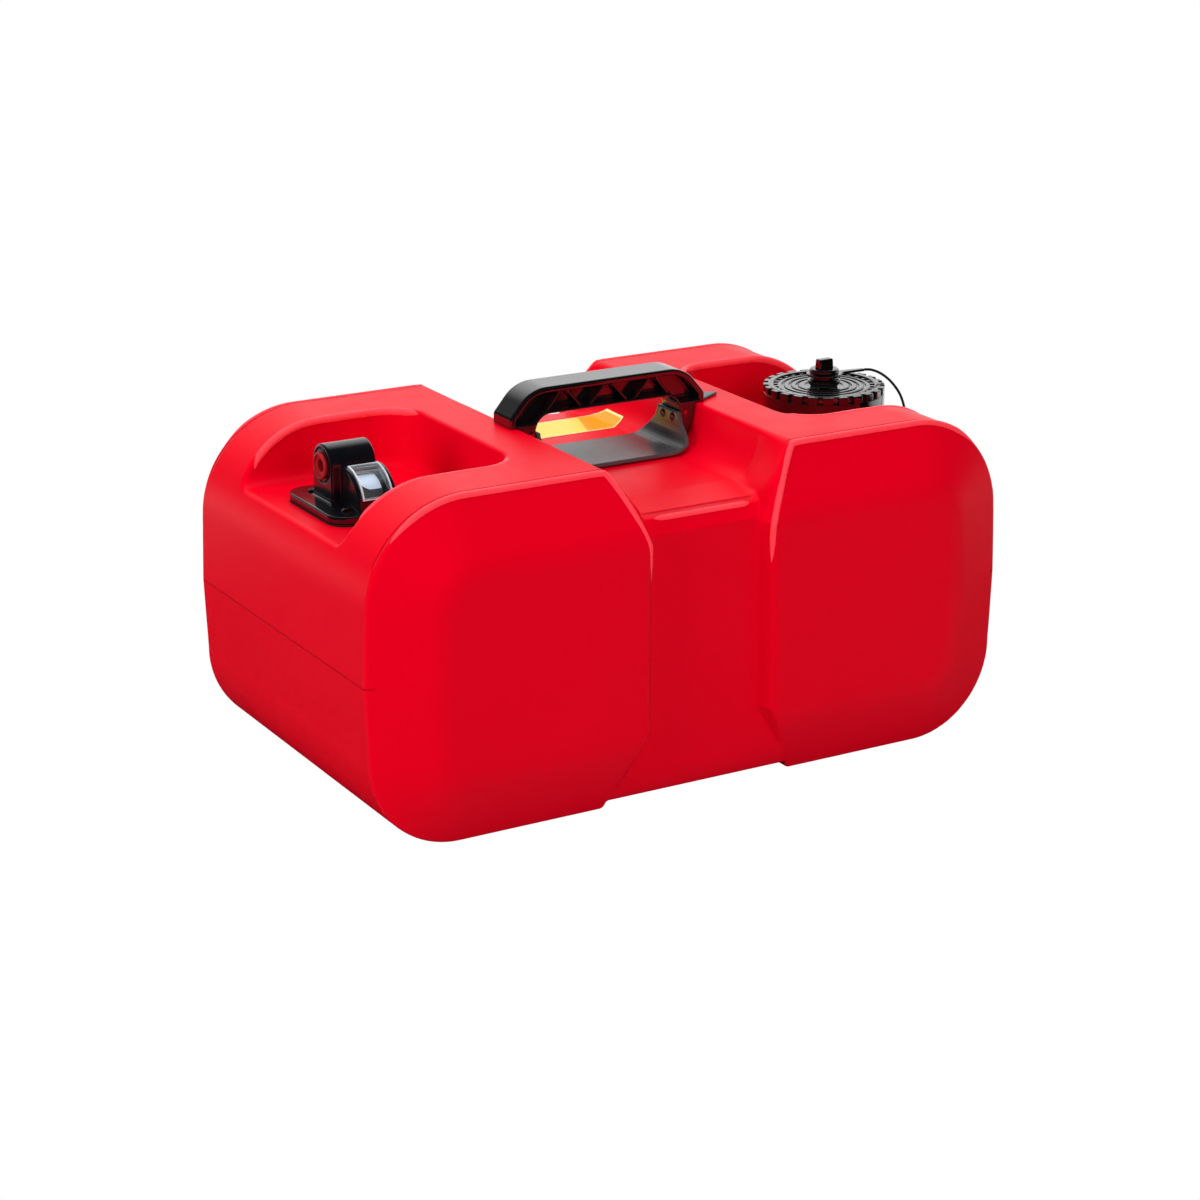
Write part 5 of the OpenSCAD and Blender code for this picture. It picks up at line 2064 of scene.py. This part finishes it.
    def valley_height(self, x: Array, y: Array) -> Array:
        """Height of the finished shell over a plan position in the valley.

        Args:
            x: Coordinates along the tank.
            y: Coordinates from the front to the back.

        Returns:
            Height at each place.
        """
        z = self.valley_shape(x, y)[0]
        for _ in range(4):
            z = z - self.outside(x, y, z) * np.hypot(1, self.valley_shape(x, y)[1])
        return z

    def bead_lines(self) -> tuple[list[Array], list[Array]]:
        """Finds the lines of the raised beads, sunk a little into the shell.

        Returns:
            The lines, and the thickness at each point.
        """
        paths = []
        crease = [(self.half_l - self.top_r + (self.top_r - self.crease_in) * math.sin(a),
                   self.crease_y,
                   self.deck - self.top_r + (self.top_r - self.crease_in) * math.cos(a))
                  for a in np.radians(np.linspace(64, 0, 14))]
        crease += [(x, self.crease_y, self.deck - 1) for x in (170, 140, 110, 92)]
        crease += [(83, 143.5, 258.5), (77.5, 144, 255.5), (65, 152.7, 234), (54.6, 160, 211),
                   (51.5, 161, 192), (50.5, 161, 160)]
        ridge = [(248.5, 90.5, 215.5), (248.2, 90.5, 224), (240, 90.5, 238), (225, 90.5, 250),
                 (205.7, 90.5, 256.7), (178, 90.5, 258), (148, 90.5, 258), (133.8, 86.7, 258),
                 (123.3, 76.3, 258), (119.5, 62, 258)]
        shares = []
        for turn_x, turn_y in SIDES:
            for path, share in ((crease, 0.85), (ridge, 1.0)):
                paths.append([(turn_x * x, turn_y * y, z) for x, y, z in path])
                shares.append(share)
        for turn_y in (-1, 1):
            paths.append([(x, turn_y * 144.7, 219) for x in (-47, -30, 0, 30, 47)])
            shares.append(0.8)
        lines, radii = [], []
        for path, share in zip(paths, shares):
            line = settle(self.outside, smooth_line(path, 2.0))
            lines.append(line - self.bead_sink * gradient(self.outside, line, 1.0))
            run = np.linspace(0, 1, len(line))
            radii.append(share * np.clip(np.minimum(run / 0.15, (1 - run) / 0.10), 0.05, 1))
        return lines, radii

    def build(self) -> None:
        """Builds the shell, its beads and its threaded neck."""
        shell = field_object("shell", self.solid, (-274, -167, -2), (274, 167, 264), SHELL_STEP,
                             190000)
        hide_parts("tank_shell")
        dress(shell, "tank", SHELL_RED)
        lines, radii = self.bead_lines()
        # The beads' paler colour is a painted highlight
        beads = swept_bead("shell_beads", lines, radii, self.bead_r, SHELL_BEAD_HIGHLIGHT, 14)
        dress(beads, "tank", SHELL_BEAD_HIGHLIGHT)
        self.neck()

    def neck(self) -> None:
        """Builds the filler neck with its ridges."""
        inner, outer, ridge = self.neck_r
        profile = [(inner, -6, 0), (inner, self.neck_top, 1.2), (outer, self.neck_top, 1.2)]
        for i in (1, 2, 3):
            z = self.neck_top + 2 - i * 6
            profile += [(outer, z + 1.6, 0.4), (ridge, z + 0.6, 0.4), (ridge, z - 0.6, 0.4),
                        (outer, z - 1.6, 0.4)]
        profile += [(outer, 0, 2), (44, -1, 0), (44, -6, 0)]
        neck = revolve("filler_neck", fillet(profile), (self.well_x, 0, self.well_z), 96)
        dress(neck, "tank", SHELL_RED)


def main() -> None:
    """Builds the object in the order that its cords, shells and fittings need."""
    logging.basicConfig(level=logging.INFO, format="%(message)s")
    studio = Studio()
    studio.camera()
    Tether().build()
    studio.build()
    shell = TankShell()
    shell.build()
    Label().build(shell)
    Handle().build()
    Filler().build()
    Gauge().build()
    finishes = {"cap_gasket": SEAL_RUBBER, "flange_gasket": SEAL_RUBBER, "drum_axle": STEEL,
                "link_rod": NATURAL, "arm_hub": CAP_BLACK, "arm_axle": STEEL,
                "float_wire": STEEL, "float": FLOAT_FOAM, "float_clip": STEEL,
                "pickup_tube": NATURAL, "pickup_filter": NATURAL}
    for node, finish in finishes.items():
        set_material(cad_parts[node].data, finish)


if __name__ == "__main__":
    main()
